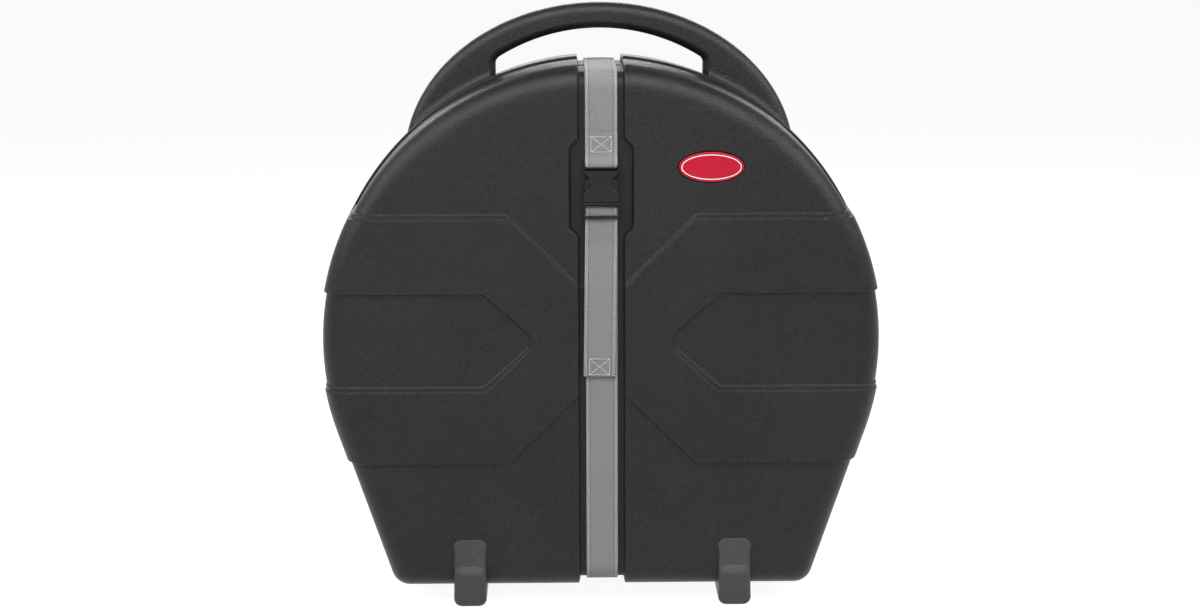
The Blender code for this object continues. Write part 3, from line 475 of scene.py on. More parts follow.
def side_part():
    """Matching points down the tapered side."""
    top = [CENTRE_Z - outline.radius * math.sin(TAPER) for outline in (RIM, FLAT)]
    low = [outline.corner_z - outline.corner_r * math.sin(TAPER) for outline in (RIM, FLAT)]
    reach = BAND_STEP + LEDGE_MARGIN
    held = [low, [BAND_LOW_Z - reach] * 2, [BAND_LOW_Z + reach] * 2, top]
    marks = [z for z in LINES_Z if z < LOW_LINES_Z]
    return pairs(spread(marks, low[0], top[0], SIDE_SPACING)[::-1][1:], held, taper_point)


def corner_part():
    """Matching points round the right corner."""
    angles = np.linspace(-TAPER, -math.pi / 2, 9)[1:]
    return pairs(angles, [(-math.pi / 2, -math.pi / 2), (-TAPER, -TAPER)], corner_point)


def bottom_part():
    """Matching points along the bottom to its middle."""
    held = [(0, 0), (LINES_X.max(), LINES_X.max()), (RIM.corner_x, FLAT.corner_x)]
    return pairs(spread(LINES_X, 0, RIM.corner_x, BOTTOM_SPACING)[::-1][1:], held, bottom_point)


def whole_loops():
    """The matching points all the way round, clockwise from the top."""
    right = np.array(round_part() + side_part() + corner_part() + bottom_part())
    left = right[1:-1][::-1] * [-1, 1, -1, 1]
    loop = np.vstack([right, left])
    return loop[:, :2], loop[:, 2:]


RIM_LOOP, FLAT_LOOP = whole_loops()


def loop_at(inset):
    """Seen from the front, the loop's points at an inset for each."""
    share = np.broadcast_to(np.asarray(inset, float), len(RIM_LOOP))[:, None] / FLAT_INSET
    return RIM_LOOP + (FLAT_LOOP - RIM_LOOP) * share


def flat_fill(rows):
    """Triangles over the flat, lined up with the features' rows of points."""
    count = len(FLAT_LOOP)
    points = [FLAT_LOOP]
    edges = [(i, (i + 1) % count) for i in range(count)]
    total = count
    for row, closed in rows:
        keep = inside_distance(row, FLAT_LOOP) > ROW_TO_EDGE
        number = np.cumsum(keep) - 1 + total
        following = range(len(row)) if closed else range(len(row) - 1)
        for i in following:
            j = (i + 1) % len(row)
            if keep[i] and keep[j]:
                edges.append((int(number[i]), int(number[j])))
        points.append(row[keep])
        total += int(keep.sum())
    low, high = FLAT_LOOP.min(0), FLAT_LOOP.max(0)
    gx, gz = np.meshgrid(*(np.arange(low[k], high[k], GRID_SPACING) for k in (0, 1)))
    odd_row = np.arange(gx.size) // gx.shape[1] % 2
    grid = np.stack([gx.ravel() + GRID_SPACING / 2 * odd_row, gz.ravel()], 1)
    grid = grid[inside_distance(grid, FLAT_LOOP) > GRID_TO_EDGE]
    taken = np.vstack(points[1:])
    near = np.array([((taken - g) ** 2).sum(1).min() for g in grid])
    points.append(grid[near > GRID_TO_ROW ** 2])
    every = [Vector(p) for p in np.vstack(points)]
    found, _, faces, origin, _, _ = delaunay_2d_cdt(every, edges, [], 1, 1e-6)
    where = np.array([[p.x, p.y] for p in found])
    source = np.array([min(o) if o else -1 for o in origin])
    return where, faces, source


def trimmed(row, gap, limit):
    """A row whose points that another feature covers are moved away, outside the case."""
    return np.where((gap > limit)[:, None], [0, -BEYOND], row)


def feature_rows(is_lid, shift):
    """Rows of points along the channel, pocket, band and badge seat, and whether each closes."""
    rows = []
    along = np.arange(BODY_BOTTOM_Z, LINE_TOP_Z, LINE_SPACING)
    for side in EDGE_ROWS - shift:
        for sign in (-1, 1):
            row = np.stack([np.full(len(along), sign * (CHANNEL_HALF - side)), along], 1)
            if is_lid:
                row = trimmed(row, inside_distance(row, POCKET), side + ROW_SLACK)
            rows.append((row, False))
    if is_lid:
        for side in EDGE_ROWS - shift:
            row = offset_row(POCKET, side, ROW_SPACING)
            rows.append((trimmed(row, CHANNEL_HALF - np.abs(row[:, 0]), side + ROW_SLACK), True))
    if shift == 0:
        rows += [(offset_row(outline, side, ROW_SPACING), True)
                 for outline, _ in PLATES for side in BAND_ROWS]
    if is_lid and shift == 0:
        rows += [(np.array(oval(SEAT_MARGIN + side * SEAT_EDGE)), True)
                 for side in (1.0, 0.5, 0.0, -0.5, -1.0, -1.5, -8.0)]
    return rows


# How a feature's depth is shared between inset and y along the wall
INWARD = (1, 0)


def skin(rows, depth_of, is_lid, shift):
    """The points and faces of rings (inset, y, shares) and of the flat; the bead has no shares."""
    face_y, sign = (FRONT_Y, 1) if is_lid else (REAR_Y, -1)
    count = len(RIM_LOOP)
    points = []
    for inset, y, shares in rows:
        depth, channel = depth_of(loop_at(inset), is_lid)
        if shares is None:
            raised = np.minimum(inset, RIM_STEP + depth + min(inset, SEAM_EDGE))
            sunk = inset * (1 - channel) + (RIM_STEP + CHANNEL_DEPTH) * channel
            place = loop_at(np.where(channel > 0, sunk, raised))
            points.append(np.stack([place[:, 0], np.full(count, y), place[:, 1]], 1))
            continue
        place = loop_at(inset + depth * shares[0])
        points.append(np.stack([place[:, 0], y + sign * depth * shares[1], place[:, 1]], 1))
    where, fill, source = flat_fill(feature_rows(is_lid, shift))
    depth, _ = depth_of(where, is_lid)
    first = (len(rows) - 1) * count
    base = len(rows) * count
    index = np.where((source >= 0) & (source < count), first + source, base + np.arange(len(where)))
    faces = ring_faces(len(rows), count) + [tuple(index[v] for v in face) for face in fill]
    points.append(np.stack([where[:, 0], face_y + sign * depth, where[:, 1]], 1))
    return np.vstack(points), faces


def shoulder_rows(is_lid):
    """The rings round the shoulder, from the wall to the flat."""
    face_y, sign = (FRONT_Y, 1) if is_lid else (REAR_Y, -1)
    rows = []
    for angle in np.linspace(math.pi / 2, 0, SHOULDER_STEPS + 1):
        rows.append((FLAT_INSET - SHOULDER_R * math.sin(angle),
                     face_y + sign * SHOULDER_R * (1 - math.cos(angle)),
                     (math.sin(angle), math.cos(angle))))
    return rows


def wall_rows(is_lid, start_y, steps):
    """The rings along the drafted wall, from near the seam to the shoulder."""
    end_y = FRONT_Y + SHOULDER_R if is_lid else REAR_Y - SHOULDER_R
    rows = []
    for share in np.linspace(0, 1, steps, endpoint=False):
        rows.append((RIM_STEP + DRAFT * share, start_y + (end_y - start_y) * share, INWARD))
    return rows


def shell(name, is_lid):
    """One half of the case as a closed moulding with an outer and an inner skin."""
    if is_lid:
        edge = [(RIM_STEP + SEAM_EDGE, SEAM_Y, INWARD),
                (RIM_STEP + SEAM_EDGE / 3, SEAM_Y - SEAM_EDGE / 3, INWARD)]
        outer = edge + wall_rows(True, SEAM_Y - SEAM_EDGE, 5)
        inner = [(RIM_STEP, SEAM_Y, INWARD)] + wall_rows(True, SEAM_Y - WALL, 3)
    else:
        start = SEAM_Y + SEAM_GAP
        bead_end = start + BEAD_WIDTH
        bead = [(SEAM_EDGE, start), (SEAM_EDGE / 3, start + SEAM_EDGE / 3), (0, start + SEAM_EDGE),
                (0, bead_end - BEAD_RAMP), (BEAD_EASE, bead_end - 0.8 * BEAD_RAMP),
                (RIM_STEP, bead_end - 0.2 * BEAD_RAMP)]
        outer = [(inset, y, None) for inset, y in bead] + wall_rows(False, bead_end, 5)
        ring = LIP_INSET + LIP_WALL - WALL + RIM_STEP
        inner = [(ring, start, INWARD), (ring, start + 2 * WALL, INWARD)]
        inner += wall_rows(False, start + 3 * WALL, 3)
    outer_points, outer_faces = skin(outer + shoulder_rows(is_lid), outer_depth, is_lid, 0)
    inner_points, inner_faces = skin(inner + shoulder_rows(is_lid), inner_depth, is_lid, WALL)
    start = len(outer_points)
    count = len(RIM_LOOP)
    faces = outer_faces + [tuple(v + start for v in face) for face in inner_faces]
    faces += [(i, (i + 1) % count, start + (i + 1) % count, start + i) for i in range(count)]
    return add_mesh(name, np.vstack([outer_points, inner_points]), faces, SMOOTHER)


# Solid helpers

def loft(name, rings, smooth=SMOOTH):
    """Join equal rings of points in order and close both ends."""
    points = [p for ring in rings for p in ring]
    return add_mesh(name, points, tube_faces(len(rings), len(rings[0])), smooth)


def closed_loft(name, rings, smooth=SMOOTHER):
    """Join equal rings of points in order, and the last one to the first."""
    return add_mesh(name, np.vstack(rings), ring_faces(len(rings), len(rings[0]), True), smooth)


def upright(points, y):
    """Stand a flat outline of (x, z) points up at one depth."""
    return [(x, y, z) for x, z in points]


def arc(centre, radius, start, end, steps):
    """Points along an arc, both ends included, from +X towards +Z."""
    angles = np.linspace(start, end, steps + 1)
    return [(centre[0] + radius * math.cos(a), centre[1] + radius * math.sin(a)) for a in angles]


def round_corners(xs, zs, radius, steps):
    """A rectangle with round corners, from its arc centres at right and left, and top and bottom."""
    points = []
    for k, (i, j) in enumerate(((0, 0), (1, 0), (1, 1), (0, 1))):
        points += arc((xs[i], zs[j]), radius, k * math.pi / 2, (k + 1) * math.pi / 2, steps)
    return points


def grown(points, distance):
    """Offset a counter-clockwise outline outwards, with mitred corners."""
    here = np.array(points)
    first = here - np.roll(here, 1, axis=0)
    second = np.roll(here, -1, axis=0) - here
    first /= np.hypot(*first.T)[:, None]
    second /= np.hypot(*second.T)[:, None]
    normals = [np.stack([v[:, 1], -v[:, 0]], 1) for v in (first, second)]
    mitre = (normals[0] + normals[1]) / (1 + (normals[0] * normals[1]).sum(1))[:, None]
    return here + mitre * distance


def plate(name, outline, low_y, high_y, radius, steps):
    """An outline given depth, with round edges, or flared ones where the radius is negative."""
    rings = []
    for angle in math.pi / 2 * np.linspace(0, 1, steps + 1):
        ring = grown(outline, -radius * (1 - math.sin(angle)))
        rings.append((ring, abs(radius) * (1 - math.cos(angle))))
    rings = [upright(r, low_y + shift) for r, shift in rings] + [
        upright(r, high_y - shift) for r, shift in reversed(rings)]
    return loft(name, rings)


def combine(target, tool, operation, smooth=SMOOTH):
    """Apply a Boolean between two closed meshes and throw the tool away."""
    modifier = target.modifiers.new("cut", "BOOLEAN")
    modifier.operation = operation
    modifier.solver = "MANIFOLD"
    modifier.object = tool
    bpy.context.view_layer.update()
    graph = bpy.context.evaluated_depsgraph_get()
    mesh = bpy.data.meshes.new_from_object(target.evaluated_get(graph))
    target.modifiers.clear()
    target.data = mesh
    bpy.data.objects.remove(tool, do_unlink=True)
    shade(mesh, smooth)
    return target


def turned(name, profile, steps, axis, centre):
    """Turn a closed profile of (radius, along) about X or Y through a point."""
    points = []
    for angle in full_turn(steps):
        for radius, along in profile:
            across = (radius * math.cos(angle), radius * math.sin(angle))
            place = (along, *across) if axis == "X" else (across[0], along, across[1])
            points.append([c + p for c, p in zip(centre, place)])
    count = len(profile)
    faces = [face for face in ring_faces(steps, count, True)
             if profile[face[0] % count][0] > 0 or profile[face[1] % count][0] > 0]
    return add_mesh(name, points, faces)


def box(name, low, high):
    """A box between two corners."""
    x, z = (low[0], high[0]), (low[2], high[2])
    outline = [(x[0], z[0]), (x[1], z[0]), (x[1], z[1]), (x[0], z[1])]
    return loft(name, [upright(outline, low[1]), upright(outline, high[1])])


def rod(name, start, end, radius, sides=32):
    """A round bar along X."""
    ring = arc((0, 0), radius, 0, 2 * math.pi, sides)[:-1]
    rings = [[(x, start[1] + a, start[2] + b) for a, b in ring] for x in (start[0], end[0])]
    return loft(name, rings)


def joined(name, pieces):
    """One object from several, each keeping its own closed surface."""
    bm = bmesh.new()
    for piece in pieces:
        bm.from_mesh(piece.data)
        bpy.data.objects.remove(piece, do_unlink=True)
    mesh = bpy.data.meshes.new(name)
    bm.to_mesh(mesh)
    bm.free()
    shade(mesh, SMOOTH)
    return add_object(name, mesh)


# Body pieces

HANDLE_TOP_Z = 0.7213
HANDLE_HALF_WIDTH = 0.2409
HANDLE_RISE = 0.196
HANDLE_Y = 0.0325
HANDLE_THICK = 0.034
HANDLE_ROUND = 0.013
GRIP_TOP_Z = 0.690
GRIP_R = 0.234
GRIP_HALF_WIDTH = 0.127
GRIP_CORNER_R = 0.010
GRIP_ROUND = 0.012
HANDLE_SEAT = 0.006
HANDLE_BURIED = 0.05
HANDLE_FILLET = 0.011
FILLET_SEAT = 0.004
FILLET_INSET = 0.006
FILLET_START = math.radians(38)
FILLET_END = math.radians(76)

FOOT_X = 0.1607
FOOT_WIDTH = 0.0405
FOOT_PROUD = 0.012
FOOT_TOP_Z = 0.079
FOOT_FLAT_Z = 0.041
FOOT_REACH = 0.055
FOOT_CORNER_R = 0.0095
FOOT_EDGE = 0.0060
FOOT_TAPER = 0.0025
FOOT_BEND = 0.25
FOOT_SEAT = 0.0035
FOOT_ROOT = 0.001
FLARE = 0.0018
FLARE_LOW_Z = 0.03
FLARE_LOW_SPAN = 0.02
FLARE_TOP_Z = 0.9 * FOOT_FLAT_Z
FLARE_TOP_SPAN = 0.01

WHEEL_R = 0.032
WHEEL_WIDTH = 0.024
WHEEL_X = FOOT_X
WHEEL_Y = 0.0875
WELL_CLEARANCE = 0.005
WELL_SIDE = 0.0049
WELL_HALF = WHEEL_WIDTH / 2 + WELL_SIDE


def block_form(name, inset):
    """The closed body without its features, set in by a distance."""
    shoulder = SHOULDER_R - inset
    rings = []
    for face_y, sign in ((FRONT_Y, 1), (REAR_Y, -1)):
        part = []
        for angle in quarter(SHOULDER_STEPS + 1):
            in_by = inset + RIM_STEP + DRAFT + shoulder * (1 - math.sin(angle))
            y = face_y + sign * (inset + shoulder * (1 - math.cos(angle)))
            part.append(upright(loop_at(in_by), y))
        rings += part if sign > 0 else [upright(loop_at(inset + RIM_STEP), SEAM_Y)] + part[::-1]
    return loft(name, rings)


def lip():
    """The thin ring on the base that the lid slips over."""
    start, end = SEAM_Y + 2 * WALL, SEAM_Y - LIP_REACH
    outer, inner = LIP_INSET, LIP_INSET + LIP_WALL
    profile = [(outer, start), (outer, end + LIP_EDGE), (outer + LIP_EDGE, end),
               (inner - LIP_EDGE, end), (inner, end + LIP_EDGE), (inner, start)]
    rings = []
    for shift, y in profile:
        channel = channel_share(loop_at(RIM_STEP + shift), False, shift)
        place = loop_at(RIM_STEP + shift + channel * CHANNEL_DEPTH)
        rings.append(np.stack([place[:, 0], np.full(len(place), y), place[:, 1]], 1))
    return closed_loft("base_lip", rings)


def handle():
    """The crescent handle with its grip opening, seated in the base's wall."""
    low_y = HANDLE_Y - HANDLE_THICK / 2
    high_y = HANDLE_Y + HANDLE_THICK / 2
    solid = plate("handle", handle_outline(0), low_y, high_y, HANDLE_ROUND, 8)
    opening = grip_outline()
    grip = plate("grip", opening, low_y - OVERCUT, high_y + OVERCUT, -GRIP_ROUND, 8)
    combine(solid, grip, "DIFFERENCE")
    for side in (-1, 1):
        fillet = handle_fillet(side, low_y)
        cleared = grown(opening, 0.6 * GRIP_ROUND)
        combine(fillet, loft("grip", [upright(cleared, y) for y in (-BEYOND, BEYOND)]), "DIFFERENCE")
        combine(solid, fillet, "UNION")
    return combine(solid, block_form("seat", HANDLE_SEAT - RIM_STEP), "DIFFERENCE")


def grip_outline():
    """The opening for the hand: a long crown between two round corners, carried on down."""
    grip_z = GRIP_TOP_Z - GRIP_R
    corner_x = GRIP_HALF_WIDTH - GRIP_CORNER_R
    reach = math.acos(corner_x / (GRIP_R - GRIP_CORNER_R))
    corner_z = grip_z + (GRIP_R - GRIP_CORNER_R) * math.sin(reach)
    outline = [(GRIP_HALF_WIDTH, CENTRE_Z)]
    outline += arc((corner_x, corner_z), GRIP_CORNER_R, 0, reach, 10)
    outline += arc((0, grip_z), GRIP_R, reach, math.pi - reach, 60)[1:-1]
    outline += arc((-corner_x, corner_z), GRIP_CORNER_R, math.pi - reach, math.pi, 10)
    return outline + [(-GRIP_HALF_WIDTH, CENTRE_Z)]


def handle_outline(inset):
    """The crescent's outer line, carried on down into the body."""
    base_z = HANDLE_TOP_Z - HANDLE_RISE
    half, rise = HANDLE_HALF_WIDTH - inset, HANDLE_RISE - inset
    crest = [(half * math.cos(a), base_z + rise * math.sin(a)) for a in np.linspace(0, math.pi, 121)]
    return [(half, base_z - HANDLE_BURIED)] + crest + [(-half, base_z - HANDLE_BURIED)]


def handle_fillet(side, face_y):
    """The hollow round between the case's wall and the handle's flat web."""
    wall_r = RIM_R - RIM_STEP
    seat_r, seat_y = wall_r - FILLET_SEAT, face_y + FILLET_SEAT
    profile = [(seat_r, face_y - HANDLE_FILLET)]
    profile += [(wall_r + HANDLE_FILLET * (1 - math.cos(a)), face_y - HANDLE_FILLET * (1 - math.sin(a)))
                for a in quarter(13)]
    profile += [(wall_r + HANDLE_FILLET, seat_y), (seat_r, seat_y)]
    rings = [[(side * r * math.cos(a), y, CENTRE_Z + r * math.sin(a)) for r, y in profile]
             for a in np.linspace(FILLET_START, FILLET_END, 40)]
    fillet = loft("fillet", rings)
    outline = handle_outline(FILLET_INSET)
    return combine(fillet, loft("crescent", [upright(outline, y) for y in (-BEYOND, BEYOND)]), "INTERSECT")


def foot_ring(centre_x, half, low_z, high_z, y, corner):
    """A rounded rectangle seen from the front."""
    xs = (centre_x + (half - corner), centre_x - (half - corner))
    return upright(round_corners(xs, (high_z - corner, low_z + corner), corner, 6), y)


def foot(side, name):
    """A foot of the lid: it slopes out of the face with a small flare and ends in a round nose."""
    centre_x = side * FOOT_X
    half = FOOT_WIDTH / 2
    nose_y = FRONT_Y - FOOT_PROUD
    rise = FOOT_TOP_Z - FOOT_FLAT_Z
    rings = []
    for angle in quarter(9):
        inset = FOOT_EDGE * (1 - math.sin(angle))
        depth = FOOT_EDGE * (1 - math.cos(angle))
        high_z = FOOT_FLAT_Z + depth / FOOT_PROUD * rise / 2 - inset / 3
        corner = FOOT_CORNER_R - inset / 3
        rings.append(foot_ring(centre_x, half - inset, inset / 2, high_z, nose_y + depth, corner))
    for share in np.linspace(FOOT_EDGE / FOOT_PROUD, 1, 6)[1:]:
        high_z = FOOT_FLAT_Z + (share - FOOT_BEND) / (1 - FOOT_BEND) * rise
        rings.append(foot_ring(centre_x, half, 0, high_z, nose_y + share * FOOT_PROUD, FOOT_CORNER_R))
    rings = [flared(ring, centre_x) for ring in rings]
    root = flared(foot_ring(centre_x, half, 0, FOOT_TOP_Z, FRONT_Y, FOOT_CORNER_R), centre_x)
    for y in (FRONT_Y + FOOT_ROOT, FRONT_Y + FOOT_REACH):
        rings.append([(x, y, z) for x, _, z in root])
    solid = loft(name, rings, SMOOTHER)
    return combine(solid, block_form("seat", FOOT_SEAT), "DIFFERENCE", SMOOTHER)


def flared(ring, centre_x):
    """Narrow a ring towards its top, and spread it where it meets the face above the shoulder."""
    result = []
    for x, y, z in ring:
        near = 1 - min(1.0, max(0.0, (FRONT_Y - y) / FLARE))
        flare = FLARE * near * float(ease((z - FLARE_LOW_Z) / FLARE_LOW_SPAN))
        rise = flare * float(ease((z - FLARE_TOP_Z) / FLARE_TOP_SPAN))
        sign = 1 if x > centre_x else -1
        result.append((x + sign * (flare - FOOT_TAPER * z / FOOT_TOP_Z), y, z + rise))
    return result


def wheel_well(side, inset):
    """The space for one wheel, open to the back and to the floor."""
    radius = WHEEL_R + WELL_CLEARANCE + inset
    half = WELL_HALF + inset
    outline = arc((WHEEL_Y, WHEEL_R), radius, math.pi, math.pi / 2, 24)
    outline += [(FAR, WHEEL_R + radius), (FAR, -FAR), (WHEEL_Y - radius, -FAR)]
    ends = (side * WHEEL_X - half, side * WHEEL_X + half)
    return loft("well", [[(x, y, z) for y, z in outline] for x in ends])


def base_shell():
    """The base with its housings for the wheels."""
    solid = shell("base_moulding", False)
    for side in (-1, 1):
        housing = combine(wheel_well(side, WALL), block_form("room", WALL / 3), "INTERSECT")
        combine(solid, housing, "UNION", SMOOTHER)
    for side in (-1, 1):
        combine(solid, wheel_well(side, 0), "DIFFERENCE", SMOOTHER)
    return solid


# Webbing

STRAP_WIDTH = 0.0381
STRAP_THICK = 0.0016
STRAP_INSET = CHANNEL_DEPTH - CLEARANCE
STRAP_EDGE_AT = np.array([0, 0.0002, 0.0006, 0.002])
STRAP_EDGE_RISE = (0.5, 0.82, 0.97, 1.0)
STRAP_STEP = 0.006
LOWER_STEP = 0.008
LOWER_START = 0.21
BUCKLE_BAR_R = 0.0020
BUCKLE_BAR_Z = 0.5372
LADDER_BAR_R = 0.0026
LADDER_BAR_Z = 0.4852
LADDER_LOW_Z = 0.4765
LOOP_GAP = 0.0002
FLOOR_Y = FRONT_Y + STRAP_INSET
LADDER_BAR_Y = FLOOR_Y - LADDER_BAR_R - CLEARANCE - STRAP_THICK

# Where the upper run is folded back and sewn
SEWN_Y = FLOOR_Y - 2.05 * STRAP_THICK
SEWN_RISE = 0.014
SEWN_STEP = 0.005
SEWN_HIGH_Z = 0.577

# The free end with its hem
TAIL_LOW_Z = 0.282
TAIL_HEM = 0.0245
TAIL_FOLD_Z = TAIL_LOW_Z + TAIL_HEM
TAIL_FOLD = 0.0012
TAIL_END = 0.0014
TAIL_LEAN = math.radians(0.8)
TAIL_SET_BACK = 0.004
TAIL_BEND_START = 0.002
TAIL_BEND = 0.036
TAIL_STRAIGHT = 0.044
TAIL_WAVE = 0.0003
TAIL_WAVES = 60
HEM_LAYER = 0.85
LEAST_THICK = 0.35

# Sewn thread
STITCH_PITCH = 0.0031
STITCH_REACH = 0.42
STITCH_SIDES = 8
STITCH_SHAPE = ((-1, 0.25), (-0.6, 0.85), (0, 1), (0.6, 0.85), (1, 0.25))
THREAD_HALF = 0.00042
THREAD_OUT = 0.00022
THREAD_SWELL = 0.00026


def ribbon(name, path, side, thick=None, start=0.0):
    """Webbing along (y, z, rim radius or 0) points, its thickness to one side, with lengthwise UVs."""
    path = np.array(path, float)
    steps = np.hypot(*np.diff(path[:, :2], axis=0).T)
    run = start + np.concatenate([[0], np.cumsum(steps)])
    ahead = np.gradient(path[:, :2], run, axis=0)
    ahead /= np.hypot(*ahead.T)[:, None]
    normal = np.stack([-ahead[:, 1], ahead[:, 0]], 1) * side
    thick = np.full(len(path), STRAP_THICK) if thick is None else np.array(thick)
    half = STRAP_WIDTH / 2
    inner = STRAP_EDGE_AT[-1]
    across = np.concatenate([STRAP_EDGE_AT[:-1], np.linspace(inner, STRAP_WIDTH - inner, 13),
                             STRAP_WIDTH - STRAP_EDGE_AT[-2::-1]]) - half
    upper = list(zip(across, np.interp(half - np.abs(across), STRAP_EDGE_AT, STRAP_EDGE_RISE)))
    section = upper + [(x, 1 - r) for x, r in upper][-2:0:-1]
    points, uvs = [], []
    for (y, z, rim), n, t, v in zip(path, normal, thick, run):
        for x, r in section:
            drop = rim - math.sqrt(rim * rim - x * x) if rim else 0
            points.append((x, y + n[0] * t * r, z + n[1] * t * r - drop))
            uvs.append((x, v))
    return add_mesh(name, points, tube_faces(len(path), len(section)), SMOOTHER, uvs)


def rim_path(is_lid):
    """The channel floor from the seam over one edge to the face, as (depth, inset)."""
    sign = -1 if is_lid else 1
    start = SEAM_Y + sign * CLEARANCE
    face_y = FRONT_Y + STRAP_INSET if is_lid else REAR_Y - STRAP_INSET
    shoulder = SHOULDER_R - STRAP_INSET
    end = face_y - sign * shoulder
    points = [(start + (end - start) * share, STRAP_INSET + RIM_STEP + DRAFT * share)
              for share in np.linspace(0, 1, 12, endpoint=False)]
    for angle in np.linspace(math.pi / 2, 0, 14):
        points.append((face_y - sign * shoulder * (1 - math.cos(angle)),
                       STRAP_INSET + RIM_STEP + DRAFT + shoulder * (1 - math.sin(angle))))
    return points


def over_top(is_lid):
    """The rim path over the top, with the rim's radius there."""
    return [(y, CENTRE_Z + RIM_R - inset, RIM_R - inset) for y, inset in rim_path(is_lid)]


def under_bottom(is_lid):
    """The rim path under the flat bottom, from the face to the seam."""
    return [(y, BODY_BOTTOM_Z + inset, 0) for y, inset in reversed(rim_path(is_lid))]


def strap_rear():
    """Webbing over the top, down the back and under the base."""
    top, bottom = over_top(False), under_bottom(False)
    heights = np.linspace(top[-1][1], bottom[0][1], 40)[1:-1]
    path = top + [(top[-1][0], z, 0) for z in heights] + bottom
    return ribbon("webbing_rear", path, 1)


def strap_upper():
    """Webbing from the seam to the buckle's bar, round it and back up to where it is sewn."""
    path = over_top(True)
    low_z = BUCKLE_BAR_Z + STRAP_STEP / 2
    path += [(FLOOR_Y, z, 0) for z in np.arange(path[-1][1] - STRAP_STEP, low_z, -STRAP_STEP)]
    outer = BUCKLE_BAR_R + LOOP_GAP + STRAP_THICK
    bar_y = FLOOR_Y - outer
    path += [(bar_y + a, b, 0) for a, b in arc((0, BUCKLE_BAR_Z), outer, 0, -math.pi, 16)]
    front_y = bar_y - outer
    for share in np.linspace(0.1, 1, 8):
        y = front_y + (SEWN_Y - front_y) * float(ease(share))
        path.append((y, BUCKLE_BAR_Z + SEWN_RISE * share, 0))
    heights = np.arange(BUCKLE_BAR_Z + SEWN_RISE + SEWN_STEP, SEWN_HIGH_Z, SEWN_STEP)
    path += [(SEWN_Y, z, 0) for z in (*heights, SEWN_HIGH_Z)]
    return ribbon("webbing_upper", path, -1)


def strap_lower():
    """Webbing from the ladder lock down the face and under the lid."""
    bottom = under_bottom(True)
    heights = np.arange(LADDER_LOW_Z - CLEARANCE, bottom[0][1] + LOWER_STEP / 2, -LOWER_STEP)
    path = [(FLOOR_Y, z, 0) for z in heights] + bottom
    return ribbon("webbing_lower", path, -1, start=LOWER_START)


def strap_tail():
    """The free end: round the ladder bar, behind the lock's lower bar and down, with a hem."""
    inner = LADDER_BAR_R + CLEARANCE
    near = LADDER_BAR_Y - inner
    back = near + TAIL_SET_BACK
    bend_z = LADDER_LOW_Z - TAIL_BEND_START
    path = [(LADDER_BAR_Y + inner, LADDER_LOW_Z + CLEARANCE, 0)]
    path += [(LADDER_BAR_Y + a, b, 0) for a, b in arc((0, LADDER_BAR_Z), inner, 0, math.pi, 18)]
    path += [(near, LADDER_BAR_Z - 2 * TAIL_BEND_START, 0)]
    path += [(near + TAIL_SET_BACK * float(ease(share)), bend_z - TAIL_BEND * share, 0)
             for share in np.linspace(0.1, 1, 14)]
    heights = np.arange(LADDER_LOW_Z - TAIL_STRAIGHT, TAIL_FOLD_Z, -STRAP_STEP)
    path += [(back + TAIL_WAVE * math.sin(z * TAIL_WAVES), z, 0) for z in heights]
    path += [(back, TAIL_FOLD_Z + d, 0) for d in (0.0004, -0.0002, -0.0008, -0.0014)]
    path += [(back, z, 0) for z in np.arange(TAIL_FOLD_Z - 0.004, TAIL_LOW_Z + 0.002, -0.003)]
    path += [(back, TAIL_LOW_Z + d, 0) for d in (0.0012, 0.0005, 0.0001, 0)]
    thick = []
    for y, z, _ in path:
        folded = float(ease((TAIL_FOLD_Z - z) / TAIL_FOLD)) if y < LADDER_BAR_Y else 0
        ends = math.sqrt(1 - max(0.0, 1 - (z - TAIL_LOW_Z) / TAIL_END) ** 2)
        thick.append(STRAP_THICK * (1 + HEM_LAYER * folded) * max(LEAST_THICK, ends))
    tail = ribbon("webbing_tail", path, -1, thick)
    tail.data.transform(lean())
    return tail


def lean():
    """The free end's slight turn about its bar."""
    turn = Matrix.Translation((0, LADDER_BAR_Y, LADDER_BAR_Z)) @ Matrix.Rotation(TAIL_LEAN, 4, "Y")
    return turn @ Matrix.Translation((0, -LADDER_BAR_Y, -LADDER_BAR_Z))


def stitches(name, corners, y, turn=None):
    """Thread sewn as a box with a cross through it, stitch by stitch."""
    (x0, z0), (x1, z1) = corners
    box_corners = np.array([(x0, z0), (x1, z0), (x1, z1), (x0, z1)])
    points, faces = [], []
    for i, j in ((0, 1), (1, 2), (2, 3), (3, 0), (0, 2), (1, 3)):
        start, end = box_corners[i], box_corners[j]
        length = np.hypot(*(end - start))
        count = max(2, int(length / STITCH_PITCH))
        along = (end - start) / length
        aside = np.array([-along[1], along[0]])
        reach = length / count * STITCH_REACH
        for k in range(count):
            middle = start + (end - start) * (k + 0.5) / count
            base = len(points)
            for share, size in STITCH_SHAPE:
                for angle in full_turn(STITCH_SIDES):
                    x, z = middle + along * share * reach + aside * THREAD_HALF * size * math.cos(angle)
                    points.append((x, y - THREAD_OUT * size - THREAD_SWELL * size * math.sin(angle), z))
            tube = tube_faces(len(STITCH_SHAPE), STITCH_SIDES)
            faces += [tuple(base + v for v in face) for face in tube]
    obj = add_mesh(name, points, faces, 60)
    if turn:
        obj.data.transform(turn)
    return obj


# Buckle

